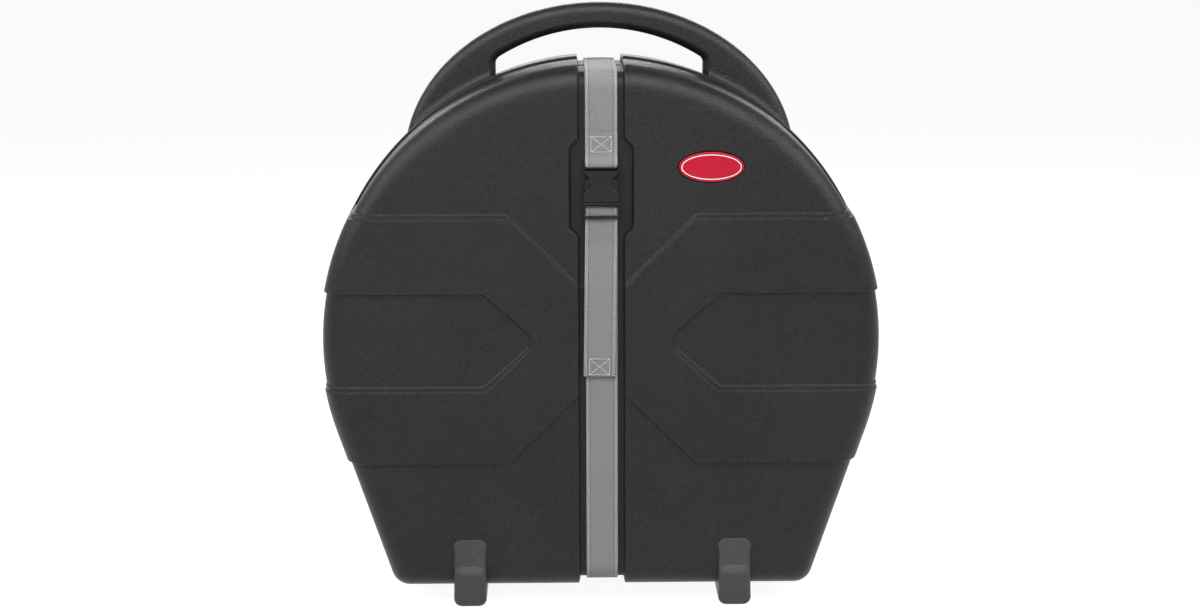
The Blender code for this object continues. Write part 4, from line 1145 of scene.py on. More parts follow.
SOCKET_FRONT = 0.0056
SOCKET_BACK = 0.0074
SOCKET_TOP_Z = 0.5385
SOCKET_LOW_Z = 0.4945
SOCKET_WEB_Z = 0.5318
SLOT_HALF = 0.0172
SLOT_TOP_Z = 0.5215
SLOT_GAP = 0.0004
PRONG_Y = FRONT_Y + (SOCKET_BACK - SOCKET_FRONT) / 2
BAR_HALF = 0.0206
BAR_DROP = 0.0004
STRAP_WINDOW = 0.0196
BUCKLE_EDGE = 0.0013
TONGUE_SET_BACK = 0.0007
TONGUE_GAP = 0.0004
LADDER_HALF = 0.0204
LADDER_FRAME = 0.0026
LADDER_BAR_LOW = 0.0018
WINDOW_TOP_Z = 0.4908
BEHIND_TOP_Z = 0.485
GUIDE_EDGE = 0.0006
ARM_X = 0.0138
ARM_ROOT_Z = 0.4951
ARM_WIDTH = 0.0054
ARM_EDGE = 0.0007


def mirrored(right):
    """An outline from its right half, listed upwards."""
    return [(x, z) for x, z in right] + [(-x, z) for x, z in reversed(right)]


def buckle_socket():
    """The female half: waisted body with scooped side windows and two ears for the bar."""
    right = [(0.0218, SOCKET_LOW_Z), (0.0222, SOCKET_LOW_Z + 0.0016), (0.0219, 0.4985),
             (0.0206, 0.5060), (0.0189, 0.5072)]
    right += arc((0.0204, 0.5150), 0.0078, math.radians(-122), math.radians(-222), 14)
    right += [(0.0139, 0.5225), (0.0146, 0.5234), (0.0210, 0.5302), (0.0214, 0.5312),
              (0.0214, SOCKET_TOP_Z)]
    front = FRONT_Y - SOCKET_FRONT
    back = FRONT_Y + SOCKET_BACK
    solid = plate("socket", mirrored(right), front, back, BUCKLE_EDGE, 6)
    slot_half_y = ARM_WIDTH / 2 + SLOT_GAP
    slot = box("slot", (-SLOT_HALF, PRONG_Y - slot_half_y, -BEYOND),
               (SLOT_HALF, PRONG_Y + slot_half_y, SLOT_TOP_Z))
    combine(solid, slot, "DIFFERENCE")
    web = box("web", (-STRAP_WINDOW, front - BEYOND, SOCKET_WEB_Z), (STRAP_WINDOW, back + BEYOND, BEYOND))
    combine(solid, web, "DIFFERENCE")
    bar_y = FLOOR_Y - BUCKLE_BAR_R - LOOP_GAP - STRAP_THICK
    bar_z = BUCKLE_BAR_Z - BAR_DROP
    bar = rod("bar", (-BAR_HALF, bar_y, bar_z), (BAR_HALF, bar_y, bar_z), BUCKLE_BAR_R - LOOP_GAP)
    return combine(solid, bar, "UNION")


def buckle_tongue():
    """The male half: a flange, the ladder's two bars in their frame and the guide prong."""
    front = FRONT_Y - SOCKET_FRONT + TONGUE_SET_BACK
    back = FRONT_Y + SOCKET_BACK
    high = SOCKET_LOW_Z - TONGUE_GAP
    right = [(0.0208, LADDER_LOW_Z - 0.0024), (0.0212, LADDER_LOW_Z - 0.0010), (0.0212, 0.4890),
             (0.0216, 0.4905), (0.0228, 0.4930), (0.0228, high)]
    solid = plate("tongue", mirrored(right), front, back, BUCKLE_EDGE, 6)
    window = box("window", (-STRAP_WINDOW, front - BEYOND, LADDER_LOW_Z + LADDER_BAR_LOW),
                 (STRAP_WINDOW, back + BEYOND, WINDOW_TOP_Z))
    combine(solid, window, "DIFFERENCE")
    behind = box("behind", (-STRAP_WINDOW, front + LADDER_FRAME, -BEYOND),
                 (STRAP_WINDOW, back + BEYOND, BEHIND_TOP_Z))
    combine(solid, behind, "DIFFERENCE")
    ladder = rod("ladder", (-LADDER_HALF, LADDER_BAR_Y, LADDER_BAR_Z),
                 (LADDER_HALF, LADDER_BAR_Y, LADDER_BAR_Z), LADDER_BAR_R)
    combine(solid, ladder, "UNION")
    half = ARM_WIDTH / 2
    outline = mirrored([(0.0030, high - 0.002), (0.0030, 0.5160), (0.0018, 0.5180)])
    combine(solid, plate("guide", outline, PRONG_Y - half, PRONG_Y + half, GUIDE_EDGE, 3), "UNION")
    return solid


def latch_arm(side, name):
    """A sprung arm and its thumb pad, which fills the socket's side window."""
    right = [(ARM_X + 0.0015, ARM_ROOT_Z), (ARM_X + 0.0015, 0.5066), (0.0196, 0.5082), (0.0203, 0.5092),
             (0.0203, 0.5118), (0.0198, 0.5160), (0.0190, 0.5196), (0.0180, 0.5206), (0.0150, 0.5214),
             (ARM_X - 0.0018, 0.5213), (ARM_X - 0.0015, ARM_ROOT_Z)]
    outline = [(side * x, z) for x, z in right[::side]]
    half = ARM_WIDTH / 2
    return plate(name, outline, PRONG_Y - half, PRONG_Y + half, ARM_EDGE, 4)


# Badge

BADGE_EDGE = 0.0009
BADGE_PROUD = 0.0006
BADGE_DOME = 0.0004
RING_LIFT = 0.00172
RING_PROFILE = ((0.0028, -0.0003), (0.0028, 0.00012), (0.0030, 0.0002), (0.0036, 0.0002),
                (0.0038, 0.00012), (0.0038, -0.0003))


def oval(grow, share=1, steps=96):
    """The badge's outline, moved out by a distance and then scaled."""
    half_width = (BADGE_HALF_WIDTH + grow) * share
    half_height = (BADGE_HALF_HEIGHT + grow) * share
    return [(BADGE_X + half_width * math.cos(a), BADGE_Z + half_height * math.sin(a))
            for a in full_turn(steps)]


def badge():
    """A slightly domed oval plate with a round edge."""
    rings = [upright(oval(0), FRONT_Y + SEAT_DEPTH - CLEARANCE)]
    for angle in quarter(7):
        y = FRONT_Y - BADGE_PROUD - BADGE_EDGE * math.sin(angle)
        rings.append(upright(oval(-BADGE_EDGE * (1 - math.cos(angle))), y))
    for share in (0.96, 0.9, 0.8, 0.6, 0.4, 0.2, 0.03):
        y = FRONT_Y - BADGE_PROUD - BADGE_EDGE - BADGE_DOME * math.cos(share * math.pi / 2)
        rings.append(upright(oval(-BADGE_EDGE, share), y))
    return loft("badge", rings, 60)


def badge_ring():
    """The thin pale ring let into the badge's face."""
    return closed_loft("badge_ring", [upright(oval(-inset), FRONT_Y - RING_LIFT - lift)
                                      for inset, lift in RING_PROFILE])


# Wheels

TYRE_THICK = 0.008
TYRE_ROUND = 0.003
TYRE_BEVEL = 0.0005
GROOVE_SPACING = 0.0055
GROOVE_PROFILE = ((0.0009, 0), (0.0006, 0.0011), (-0.0006, 0.0011), (-0.0009, 0))
HUB_BOSS_R = 0.010
HUB_BOSS_OUT = 0.0025
HUB_WEB = 0.003
HUB_BEVEL = 0.0005
HUB_SOFT = 0.0008
HUB_FILLET = 0.0012
RIB_COUNT = 6
RIB_HALF = 0.0011
AXLE_R = 0.004


def tyre(side, name):
    """A soft tread with rounded shoulders and three grooves."""
    half = WHEEL_WIDTH / 2
    inner = WHEEL_R - TYRE_THICK
    edge = [(inner, half - TYRE_BEVEL), (inner + TYRE_BEVEL, half)]
    edge += [(WHEEL_R - TYRE_ROUND + b, half - TYRE_ROUND + a)
             for a, b in arc((0, 0), TYRE_ROUND, 0, math.pi / 2, 6)]
    grooves = [(WHEEL_R - drop, centre + shift)
               for centre in (GROOVE_SPACING, 0, -GROOVE_SPACING) for shift, drop in GROOVE_PROFILE]
    crown = edge + grooves + [(r, -a) for r, a in reversed(edge)]
    return turned(name, crown, 96, "X", (side * WHEEL_X, WHEEL_Y, WHEEL_R))


def hub(side, name):
    """A moulded hub: boss, web, outer rim and six ribs on each side of the web."""
    rim_r = WHEEL_R - TYRE_THICK - CLEARANCE
    half = WHEEL_WIDTH / 2
    boss = half + HUB_BOSS_OUT
    bore = AXLE_R + CLEARANCE
    right = [(bore, boss - HUB_BEVEL), (bore + HUB_BEVEL, boss), (HUB_BOSS_R - HUB_SOFT, boss),
             (HUB_BOSS_R, boss - HUB_SOFT), (HUB_BOSS_R + 0.0004, HUB_WEB + HUB_FILLET),
             (HUB_BOSS_R + 0.0016, HUB_WEB), (rim_r - 0.0045, HUB_WEB),
             (rim_r - 0.0033, HUB_WEB + HUB_FILLET), (rim_r - 0.003, half - 0.0006),
             (rim_r - 0.0024, half), (rim_r - HUB_BEVEL, half), (rim_r, half - HUB_BEVEL)]
    profile = right + [(r, -a) for r, a in reversed(right)]
    centre = (side * WHEEL_X, WHEEL_Y, WHEEL_R)
    solid = turned(name, profile, 72, "X", centre)
    reach = half - HUB_FILLET
    ribs = []
    for k in range(RIB_COUNT):
        angle = (2 * k + 1) * math.pi / RIB_COUNT
        rib = box("rib", (-reach, -RIB_HALF, HUB_BOSS_R - 0.001), (reach, RIB_HALF, rim_r - 0.002))
        rib.data.transform(Matrix.Translation(centre) @ Matrix.Rotation(angle, 4, "X"))
        ribs.append(rib)
    return combine(solid, joined("ribs", ribs), "UNION")


# Inside

FOAM_R = 0.285
FOAM_THICK = 0.022
FOAM_HOLE_R = 0.046
FOAM_EDGE = 0.005
FOAM_GAP = 0.0006
FOAM_SAG = 0.0005
POST_R = 0.004
POST_BORE = POST_R + CLEARANCE
POST_TIP_Y = -0.048
POST_CHAMFER = 0.0014
POST_TIP_SHARE = 0.6
THREAD_PITCH = 0.00125
THREAD_DEPTH = 0.0007
RIDGE_Y = REAR_Y - CHANNEL_DEPTH - WALL
PLATE_THICK = 0.003
PLATE_BACK_Y = RIDGE_Y - CLEARANCE
PLATE_FRONT_Y = PLATE_BACK_Y - PLATE_THICK
PLATE_HALF = 0.027
PLATE_CORNER_R = 0.008
PLATE_EDGE = 0.0006
COLLAR_R = 0.009
COLLAR = 0.008
COLLAR_SEAT = 0.002
COLLAR_BEVEL = 0.001
SCREW_PITCH_HALF = 0.019
SCREW_HOLE_R = 0.0023
SCREW_R = 0.002
SCREW_LENGTH = 0.007
SCREW_TIP_R = 0.0006
SCREW_TIP = 0.0015
HEAD_R = 0.0042
HEAD_RISE = 0.0022
CROSS_LONG = 0.0022
CROSS_THIN = 0.0005
CROSS_FLOOR = 0.0009
FELT_R = 0.020
FELT_THICK = 0.006
FELT_EDGE = 0.001
CUP_R = 0.019
CUP_THICK = 0.002
CUP_RISE = 0.004
NUT_BACK_Y = -0.030
NUT_R = 0.0085
NUT_LENGTH = 0.012
NUT_BEVEL = 0.0006
CUP_BASE_Y = NUT_BACK_Y + CLEARANCE + CUP_THICK + CUP_RISE
WING_HALF = 0.00175
WING_BEVEL = 0.0006
WING_TIP_R = 0.0024


def foam_pad(name, is_lid):
    """A round pad with soft edges that lies on the moulded wall behind it."""
    wall_y, sign = (FRONT_Y, 1) if is_lid else (REAR_Y, -1)
    front = wall_y + sign * (WALL + FOAM_THICK)
    edge = FOAM_EDGE
    turn = full_turn(240)
    profile = [(FOAM_HOLE_R, None), (FOAM_HOLE_R, edge)]
    profile += [(FOAM_HOLE_R + edge * (1 - math.cos(a)), edge * (1 - math.sin(a))) for a in quarter(7)[1:]]
    profile += [(r, 0.0) for r in np.linspace(FOAM_HOLE_R + 2 * edge, FOAM_R - 2 * edge, 16)]
    profile += [(FOAM_R - edge + edge * math.sin(a), edge * (1 - math.cos(a))) for a in quarter(7)]
    profile += [(r, None) for r in np.linspace(FOAM_R, FOAM_HOLE_R + 2 * edge, 18)]
    rings = []
    for radius, drop in profile:
        flat = np.stack([radius * np.cos(turn), CENTRE_Z + radius * np.sin(turn)], 1)
        if drop is None:
            depth = WALL + FOAM_GAP + CHANNEL_DEPTH * channel_share(flat, is_lid, WALL + 0.001)
            y = wall_y + sign * depth
        else:
            sag = FOAM_SAG * np.sin(3 * turn + radius * 40) * (1 if 0.06 < radius < 0.27 else 0)
            y = np.full(len(turn), front - sign * drop) - sign * (FOAM_GAP + sag)
        rings.append(np.stack([flat[:, 0], y, flat[:, 1]], 1))
    pad = closed_loft(name, rings, 40)
    inset = WALL + 0.0004
    combine(pad, block_form("room", inset), "INTERSECT", 40)
    if not is_lid:
        for side in (-1, 1):
            combine(pad, wheel_well(side, inset), "DIFFERENCE", 40)
    return pad


def post():
    """The threaded post, its thread cut as a helix and its tip chamfered."""
    start, end = PLATE_BACK_Y, POST_TIP_Y
    rows = int((start - end) / THREAD_PITCH * 8)
    turn = full_turn(28)
    rings = []
    for k in range(rows + 1):
        y = start + (end - start) * k / rows
        phase = (y / THREAD_PITCH + turn / (2 * math.pi)) % 1
        radius = POST_R - THREAD_DEPTH * (1 - np.abs(2 * phase - 1))
        chamfer = min(1.0, (y - end) / POST_CHAMFER + POST_TIP_SHARE)
        radius = np.minimum(radius, POST_R * chamfer)
        rings.append([(r * math.cos(a), y, CENTRE_Z + r * math.sin(a)) for r, a in zip(radius, turn)])
    return loft("post", rings, 40)


def on_post(name, profile, steps):
    """Turn a profile of (radius, depth) about the post's line."""
    return turned(name, profile, steps, "Y", (0, 0, CENTRE_Z))


def cutter(name, radius, x, z, steps):
    """A round bar along the depth, to cut a hole with."""
    profile = [(0, 0.2), (radius, 0.2), (radius, -0.2), (0, -0.2)]
    return turned(name, profile, steps, "Y", (x, 0, z))


def post_flange():
    """The square plate with rounded corners, a collar and four holes."""
    reach = PLATE_HALF - PLATE_CORNER_R
    outline = round_corners((reach, -reach), (CENTRE_Z + reach, CENTRE_Z - reach), PLATE_CORNER_R, 8)
    solid = plate("flange", outline, PLATE_FRONT_Y, PLATE_BACK_Y, PLATE_EDGE, 3)
    seat, front = PLATE_FRONT_Y + COLLAR_SEAT, PLATE_FRONT_Y - COLLAR
    collar = [(POST_BORE, seat), (COLLAR_R, seat), (COLLAR_R, front + COLLAR_BEVEL),
              (COLLAR_R - COLLAR_BEVEL, front), (POST_BORE, front)]
    combine(solid, on_post("collar", collar, 64), "UNION")
    cutters = [cutter("hole", SCREW_HOLE_R, x, z, 32) for x, z in screw_places()]
    cutters.append(cutter("bore", POST_BORE, 0, CENTRE_Z, 48))
    return combine(solid, joined("holes", cutters), "DIFFERENCE")


def screw_places():
    """The four screw positions on the plate, as (x, z)."""
    half = SCREW_PITCH_HALF
    return [(sx * half, CENTRE_Z + sz * half) for sz in (1, -1) for sx in (-1, 1)]


def screw(name, x, z):
    """A pan-head screw with a cross recess."""
    seat = PLATE_FRONT_Y - CLEARANCE
    tip = seat + SCREW_LENGTH
    head = [(HEAD_R * math.cos(a), seat - HEAD_RISE * math.sin(a))
            for a in np.linspace(0, math.pi / 2 - 0.05, 9)]
    profile = [(0, tip), (SCREW_TIP_R, tip), (SCREW_R, tip - SCREW_TIP), (SCREW_R, seat)] + head
    profile.append((0, seat - HEAD_RISE))
    solid = turned(name, profile, 40, "Y", (x, 0, z))
    for wide, high in ((CROSS_LONG, CROSS_THIN), (CROSS_THIN, CROSS_LONG)):
        cross = box("cross", (x - wide, seat - 0.003, z - high), (x + wide, seat - CROSS_FLOOR, z + high))
        combine(solid, cross, "DIFFERENCE")
    return solid


def round_washer(name, low_y):
    """A felt washer on the post with rounded edges; its front lies at a depth."""
    radius, high_y, edge = FELT_R, low_y + FELT_THICK, FELT_EDGE
    profile = [(POST_BORE, high_y - edge), (POST_BORE, low_y + edge)]
    profile += [(POST_BORE + edge * (1 - math.cos(a)), low_y + edge * (1 - math.sin(a)))
                for a in np.linspace(0.3, math.pi / 2, 4)]
    profile += [(radius - edge + edge * math.sin(a), low_y + edge * (1 - math.cos(a))) for a in quarter(6)]
    profile += [(radius - edge + edge * math.cos(a), high_y - edge * (1 - math.sin(a))) for a in quarter(6)]
    profile += [(POST_BORE + edge * (1 - math.sin(a)), high_y - edge * (1 - math.cos(a)))
                for a in np.linspace(0, 1.2, 4)]
    return on_post(name, profile, 96)


def cup():
    """The dished metal washer over the upper felt."""
    crown = -CUP_RISE - CUP_THICK
    upper = [(POST_BORE, crown), (CUP_R * 0.5, crown), (CUP_R * 0.62, -CUP_RISE - CUP_THICK * 0.8),
             (CUP_R - 0.002, -CUP_THICK - 0.0003), (CUP_R - 0.0004, -CUP_THICK + 0.0003),
             (CUP_R, -CUP_THICK / 2), (CUP_R, -0.0004), (CUP_R - 0.0005, 0)]
    lower = [(CUP_R - 0.002, -0.0002), (CUP_R * 0.6, -CUP_RISE + 0.0003), (CUP_R * 0.5, -CUP_RISE),
             (POST_BORE, -CUP_RISE)]
    return on_post("cup", [(r, CUP_BASE_Y + a) for r, a in upper + lower], 96)


def wing_nut():
    """A nut with two ear-shaped wings."""
    back, front = NUT_BACK_Y, NUT_BACK_Y - NUT_LENGTH
    profile = [(POST_BORE, back), (NUT_R - NUT_BEVEL, back), (NUT_R, back - NUT_BEVEL),
               (NUT_R - 2 * NUT_BEVEL, front + 2 * NUT_BEVEL), (NUT_R - 4 * NUT_BEVEL, front),
               (POST_BORE + 0.0003, front), (POST_BORE, front + 0.0005)]
    solid = on_post("wingnut", profile, 64)
    ear = [(NUT_R - 0.002, -0.0022), (0.0120, -0.0040), (0.0175, -0.0085), (0.0210, -0.0112)]
    ear += arc((0.0214, -0.0128), WING_TIP_R, 0.9, -2.3, 10)
    ear += [(0.0170, -0.0138), (0.0120, -0.0108), (NUT_R - 0.002, -0.0098)]
    for side in (-1, 1):
        outline = [(side * x, back + y) for x, y in ear]
        small = drawn_in(outline, WING_BEVEL)
        layers = ((-WING_HALF, small), (-WING_HALF + WING_BEVEL, outline),
                  (WING_HALF - WING_BEVEL, outline), (WING_HALF, small))
        wing = loft("wing", [[(x, y, CENTRE_Z + lift) for x, y in layer] for lift, layer in layers])
        combine(solid, wing, "UNION")
    return solid


def drawn_in(outline, distance):
    """An outline drawn in towards its middle."""
    points = np.array(outline)
    middle = points.mean(0)
    reach = np.hypot(*(points - middle).T)
    return [tuple(p) for p in middle + (points - middle) * (1 - distance / reach)[:, None]]


# Materials

class Nodes:
    """A node tree with short ways to add and join nodes."""

    def __init__(self, tree):
        self.tree = tree

    def add(self, kind, inputs=None, **settings):
        """A node, with its settings and with inputs given as values or as other nodes' outputs."""
        node = self.tree.nodes.new("ShaderNode" + kind)
        for key, value in settings.items():
            setattr(node, key, value)
        for key, value in (inputs or {}).items():
            self.join(value, node.inputs[key])
        return node

    def join(self, value, socket):
        """Link an output to a socket, or set the socket's value."""
        if isinstance(value, bpy.types.NodeSocket):
            self.tree.links.new(value, socket)
        else:
            socket.default_value = value

    def math(self, operation, *values):
        """The result of a Math node."""
        return self.add("Math", dict(enumerate(values)), operation=operation).outputs[0]

    def fade(self, value, low, high, start=0.0, end=1.0):
        """A value mapped from one range to another, and held at its ends."""
        names = ("Value", "From Min", "From Max", "To Min", "To Max")
        return self.add("MapRange", dict(zip(names, (value, low, high, start, end)))).outputs[0]

    def ray_is(self, *kinds):
        """1 for rays of the given kinds, and 0 for others."""
        path = self.add("LightPath")
        result = path.outputs[f"Is {kinds[0]} Ray"]
        for kind in kinds[1:]:
            result = self.math("MAXIMUM", result, path.outputs[f"Is {kind} Ray"])
        return result


class Surface(Nodes):
    """A Principled material, and the patterns that materials are made of."""

    def __init__(self, name, **values):
        self.material = bpy.data.materials.new(name)
        self.material.use_nodes = True
        super().__init__(self.material.node_tree)
        self.shader = self.tree.nodes["Principled BSDF"]
        for socket, value in values.items():
            self.shader.inputs[socket.replace("_", " ")].default_value = value

    def place(self, scale=None):
        """Coordinates on the object, in metres, or scaled along each axis."""
        place = self.add("TexCoord").outputs["Object"]
        return self.add("Mapping", {"Vector": place, "Scale": scale}).outputs[0] if scale else place

    def noise(self, scale, detail=3.0, place=None, rough=0.5):
        """Noise between 0 and 1."""
        inputs = {"Vector": place or self.place(), "Scale": scale, "Detail": detail, "Roughness": rough}
        return self.add("TexNoise", inputs).outputs[0]

    def cells(self, scale, feature="SMOOTH_F1"):
        """Distance to the nearest of many scattered points."""
        inputs = {"Vector": self.place(), "Scale": scale}
        return self.add("TexVoronoi", inputs, feature=feature).outputs["Distance"]

    def times(self, first, second):
        """The product of two values."""
        return self.math("MULTIPLY", first, second)

    def plus(self, first, second):
        """The sum of two values."""
        return self.math("ADD", first, second)

    def wave(self, along, length):
        """A sine wave along a coordinate."""
        return self.math("SINE", self.times(along, 2 * math.pi / length))

    def blend(self, share, first, second):
        """A colour between two others."""
        node = self.add("Mix", data_type="RGBA")
        for socket, value in ((0, share), (6, first), (7, second)):
            self.join((*value, 1) if isinstance(value, tuple) else value, node.inputs[socket])
        return node.outputs[2]

    def bump(self, height, distance):
        """A bump of a height between 0 and 1, scaled to metres."""
        return self.add("Bump", {"Height": height, "Distance": distance}).outputs[0]

    def finish(self, colour=None, roughness=None, normal=None):
        """Join what was made to the shader and give the material back."""
        for name, value in (("Base Color", colour), ("Roughness", roughness), ("Normal", normal)):
            if value is not None:
                self.tree.links.new(value, self.shader.inputs[name])
        return self.material


def moulded_plastic(name, dark, light, gloss, pebble=720, height=0.00040, shine=0.25):
    """Moulded plastic with a pebbled grain, uneven gloss and a patchy painted highlight along its rounded
    edges.
    """
    s = Surface(name, Specular_IOR_Level=shine)
    grain = s.cells(pebble)
    relief = s.plus(s.times(grain, 0.8), s.times(s.noise(2600, 2), 0.35))
    patches = s.fade(s.noise(7, 4, rough=0.6), 0.35, 0.68)
    speckle = s.fade(s.noise(600, 3), 0.40, 0.60)
    base = s.blend(s.add("Mix", {0: 0.7, 2: patches, 3: speckle}).outputs[0], dark, light)
    # Painted highlight: near rounded edges the colour turns, in patches, up to 3.2 times lighter, where
    # light would catch them
    edges = s.add("Bevel", {"Radius": 0.0012}, samples=4).outputs[0]
    face = s.add("NewGeometry").outputs["Normal"]
    agreement = s.add("VectorMath", {0: edges, 1: face}, operation="DOT_PRODUCT").outputs["Value"]
    near_edge = s.fade(agreement, 0.985, 0.88)
    painted_edge_highlight = s.times(near_edge, s.fade(s.noise(60, 3), 0.35, 0.65, 0.5, 1))
    colour = s.blend(painted_edge_highlight, base, tuple(3.2 * c for c in light))
    scuffs = s.fade(s.noise(34, 6, rough=0.7), 0.45, 0.8, gloss, gloss + 0.13)
    roughness = s.math("SUBTRACT", scuffs, s.times(grain, 0.1))
    return s.finish(colour, roughness, s.bump(relief, height))


def webbing_cloth():
    """Grey webbing: a diagonal twill between ribbed selvedges, each set off by a darker line."""
    s = Surface("webbing", Roughness=0.86, Specular_IOR_Level=0.2, Sheen_Weight=0.25, Sheen_Roughness=0.5)
    uv = s.add("SeparateXYZ", {0: s.add("UVMap", uv_map=WEAVE_MAP).outputs[0]})
    across, along = uv.outputs[0], uv.outputs[1]
    side = s.math("ABSOLUTE", across)
    rib = s.wave(s.plus(across, along), 0.0026)
    checks = s.times(s.wave(along, 0.0011), s.wave(across, 0.0010))
    twill = s.plus(s.times(rib, 0.30), s.times(checks, 0.20))
    tick = s.times(s.wave(along, 0.0024), 0.32)
    edge = s.fade(side, 0.0146, 0.0150)
    weave = s.plus(0.5, s.add("Mix", {0: edge, 2: twill, 3: tick}).outputs[0])
    from_edge = s.math("ABSOLUTE", s.math("SUBTRACT", side, 0.0146))
    line = s.math("SUBTRACT", 1.0, s.fade(from_edge, 0.0003, 0.0008))
    fuzz = s.times(s.math("SUBTRACT", s.noise(5200, 3), 0.5), 0.25)
    height = s.plus(s.math("SUBTRACT", weave, s.times(line, 0.35)), fuzz)
    middle = s.blend(s.fade(height, 0.15, 0.9), (0.092, 0.092, 0.091), (0.250, 0.250, 0.247))
    selvedge = s.blend(s.fade(height, 0.2, 0.85), (0.152, 0.152, 0.150), (0.312, 0.312, 0.308))
    colour = s.blend(edge, middle, selvedge)
    colour = s.blend(s.times(line, 0.55), colour, (0.10, 0.098, 0.09))
    soil = s.fade(s.noise(26, 5, rough=0.65), 0.3, 0.75, 0, 0.22)
    colour = s.blend(soil, colour, (0.17, 0.166, 0.156))
    return s.finish(colour, None, s.bump(height, 0.00022))


def thread():
    """Pale sewing thread with its twist."""
    s = Surface("thread", Roughness=0.8, Sheen_Weight=0.2)
    twist = s.noise(4200, 2)
    colour = s.blend(twist, (0.34, 0.335, 0.31), (0.60, 0.59, 0.56))
    return s.finish(colour, None, s.bump(twist, 0.00008))


def gloss_plastic():
    """Smooth black buckle plastic with fine scratches."""
    s = Surface("buckle_black", Specular_IOR_Level=0.30)
    scratches = s.noise(900, 5, s.place((1, 1, 0.12)), 0.75)
    colour = s.blend(s.fade(scratches, 0.55, 0.8, 0, 0.5), (0.0055, 0.0058, 0.0080), (0.030, 0.031, 0.038))
    roughness = s.fade(s.noise(70, 4), 0.3, 0.75, 0.24, 0.40)
    return s.finish(colour, roughness, s.bump(s.noise(3000, 2), 0.00002))


def enamel():
    """Deep red enamel under a clear coat."""
    s = Surface("enamel_red", Coat_Weight=0.2, Coat_Roughness=0.06, Specular_IOR_Level=0.15)
    depth = s.noise(45, 3)
    flake = s.cells(5200, feature="F1")
    colour = s.blend(depth, (0.33, 0.002, 0.016), (0.37, 0.003, 0.020))
    colour = s.blend(s.fade(flake, 0.0, 0.22, 0.12, 0), colour, (0.85, 0.06, 0.09))
    roughness = s.fade(s.noise(18, 2), 0.3, 0.7, 0.28, 0.36)
    return s.finish(colour, roughness, s.bump(s.noise(120, 2), 0.00001))


def pale_ink():
    """The badge's pale ring."""
    s = Surface("ring_pale", Coat_Weight=0.6, Coat_Roughness=0.1)
    colour = s.blend(s.noise(500, 3), (0.62, 0.60, 0.58), (0.78, 0.77, 0.75))
    return s.finish(colour, s.fade(s.noise(260, 3), 0.3, 0.7, 0.3, 0.45))


def zinc(name="zinc_steel", stretch=(1, 1, 1), scale=260):
    """Zinc-plated steel with a faint grain and a cloudy gloss."""
    s = Surface(name, Metallic=1.0)
    grain = s.noise(scale, 6, s.place(stretch), 0.7)
    cloud = s.noise(120, 4)
    colour = s.blend(cloud, (0.52, 0.52, 0.50), (0.72, 0.72, 0.69))
    roughness = s.plus(s.fade(grain, 0.3, 0.7, 0.22, 0.38), s.fade(cloud, 0.4, 0.7, 0, 0.08))
    return s.finish(colour, roughness, s.bump(grain, 0.00003))


def tread_rubber():
    """Dull tread with dust in its fine pits."""
    s = Surface("tread", Specular_IOR_Level=0.25)
    pits = s.noise(900, 4)
    dust = s.fade(s.noise(55, 5, rough=0.7), 0.5, 0.8, 0, 0.45)
    colour = s.blend(dust, (0.020, 0.020, 0.021), (0.10, 0.095, 0.088))
    return s.finish(colour, s.fade(pits, 0.3, 0.7, 0.62, 0.86), s.bump(pits, 0.00012))


def open_foam():
    """Dark open-cell foam."""
    s = Surface("foam_cells", Specular_IOR_Level=0.1, Roughness=0.95, Sheen_Weight=0.15)
    cell = s.cells(520, feature="F1")
    small = s.cells(1300, feature="F1")
    height = s.plus(s.times(cell, 0.7), s.times(small, 0.4))
    tone = s.blend(s.fade(height, 0.2, 0.75), (0.016, 0.016, 0.018), (0.075, 0.075, 0.080))
    colour = s.blend(s.fade(s.noise(14, 4), 0.4, 0.7, 0, 0.35), tone, (0.095, 0.095, 0.10))
    return s.finish(colour, None, s.bump(height, 0.0006))


def felt_wool():
    """Grey felt with fibres lying every way."""
    s = Surface("felt_wool", Specular_IOR_Level=0.1, Roughness=0.97, Sheen_Weight=0.4)
    one = s.noise(1500, 4, s.place((1, 1, 0.2)), 0.7)
    two = s.noise(1500, 4, s.place((0.2, 1, 1)), 0.7)
    fibre = s.math("MAXIMUM", one, two)
    colour = s.blend(s.fade(fibre, 0.4, 0.75), (0.14, 0.14, 0.14), (0.40, 0.40, 0.39))
    return s.finish(colour, None, s.bump(fibre, 0.0005))


SHELL = moulded_plastic("charcoal_shell", (0.0052, 0.0049, 0.0047), (0.0164, 0.0158, 0.0154), 0.40)
# Painted light: the feet are moulded in the shell's plastic but get a several times lighter copy of it, so
# that their sloped tops look lit
FOOT_PAINTED_LIGHT_PLASTIC = moulded_plastic("charcoal_foot_painted_light", (0.0290, 0.0284, 0.0288), (0.0470, 0.0462, 0.0468), 0.40)
HANDLE_PLASTIC = moulded_plastic("charcoal_handle", (0.0072, 0.0073, 0.0080), (0.0200, 0.0203, 0.0216),
                                 0.40)
CHANNEL_PLASTIC = moulded_plastic("charcoal_channel", (0.0085, 0.0078, 0.0072), (0.0150, 0.0138, 0.0127),
                                  0.50, shine=0.22)
HUB_PLASTIC = moulded_plastic("hub_grey", (0.060, 0.060, 0.062), (0.095, 0.095, 0.097), 0.46, 1500, 0.00008)
WEBBING = webbing_cloth()
THREAD = thread()
BUCKLE = gloss_plastic()
ENAMEL = enamel()
PALE = pale_ink()
ZINC = zinc()
DRAWN = zinc("drawn_steel", (0.06, 1, 1), 900)
TREAD = tread_rubber()
FOAM = open_foam()
FELT = felt_wool()


# Assembly

def dress(obj, surface, slot, body, *nodes):
    """Give a piece its material, its body and the solids it stands for; the slot argument is not used."""
    obj.data.materials.clear()
    obj.data.materials.append(surface)
    if body:
        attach(obj, body)
    if nodes:
        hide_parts(*nodes)
    return obj


def steady_normals(obj):
    """Let the large flat faces rule the shading beside their rounded edges."""
    modifier = obj.modifiers.new("normals", "WEIGHTED_NORMAL")
    modifier.keep_sharp = True
    return obj


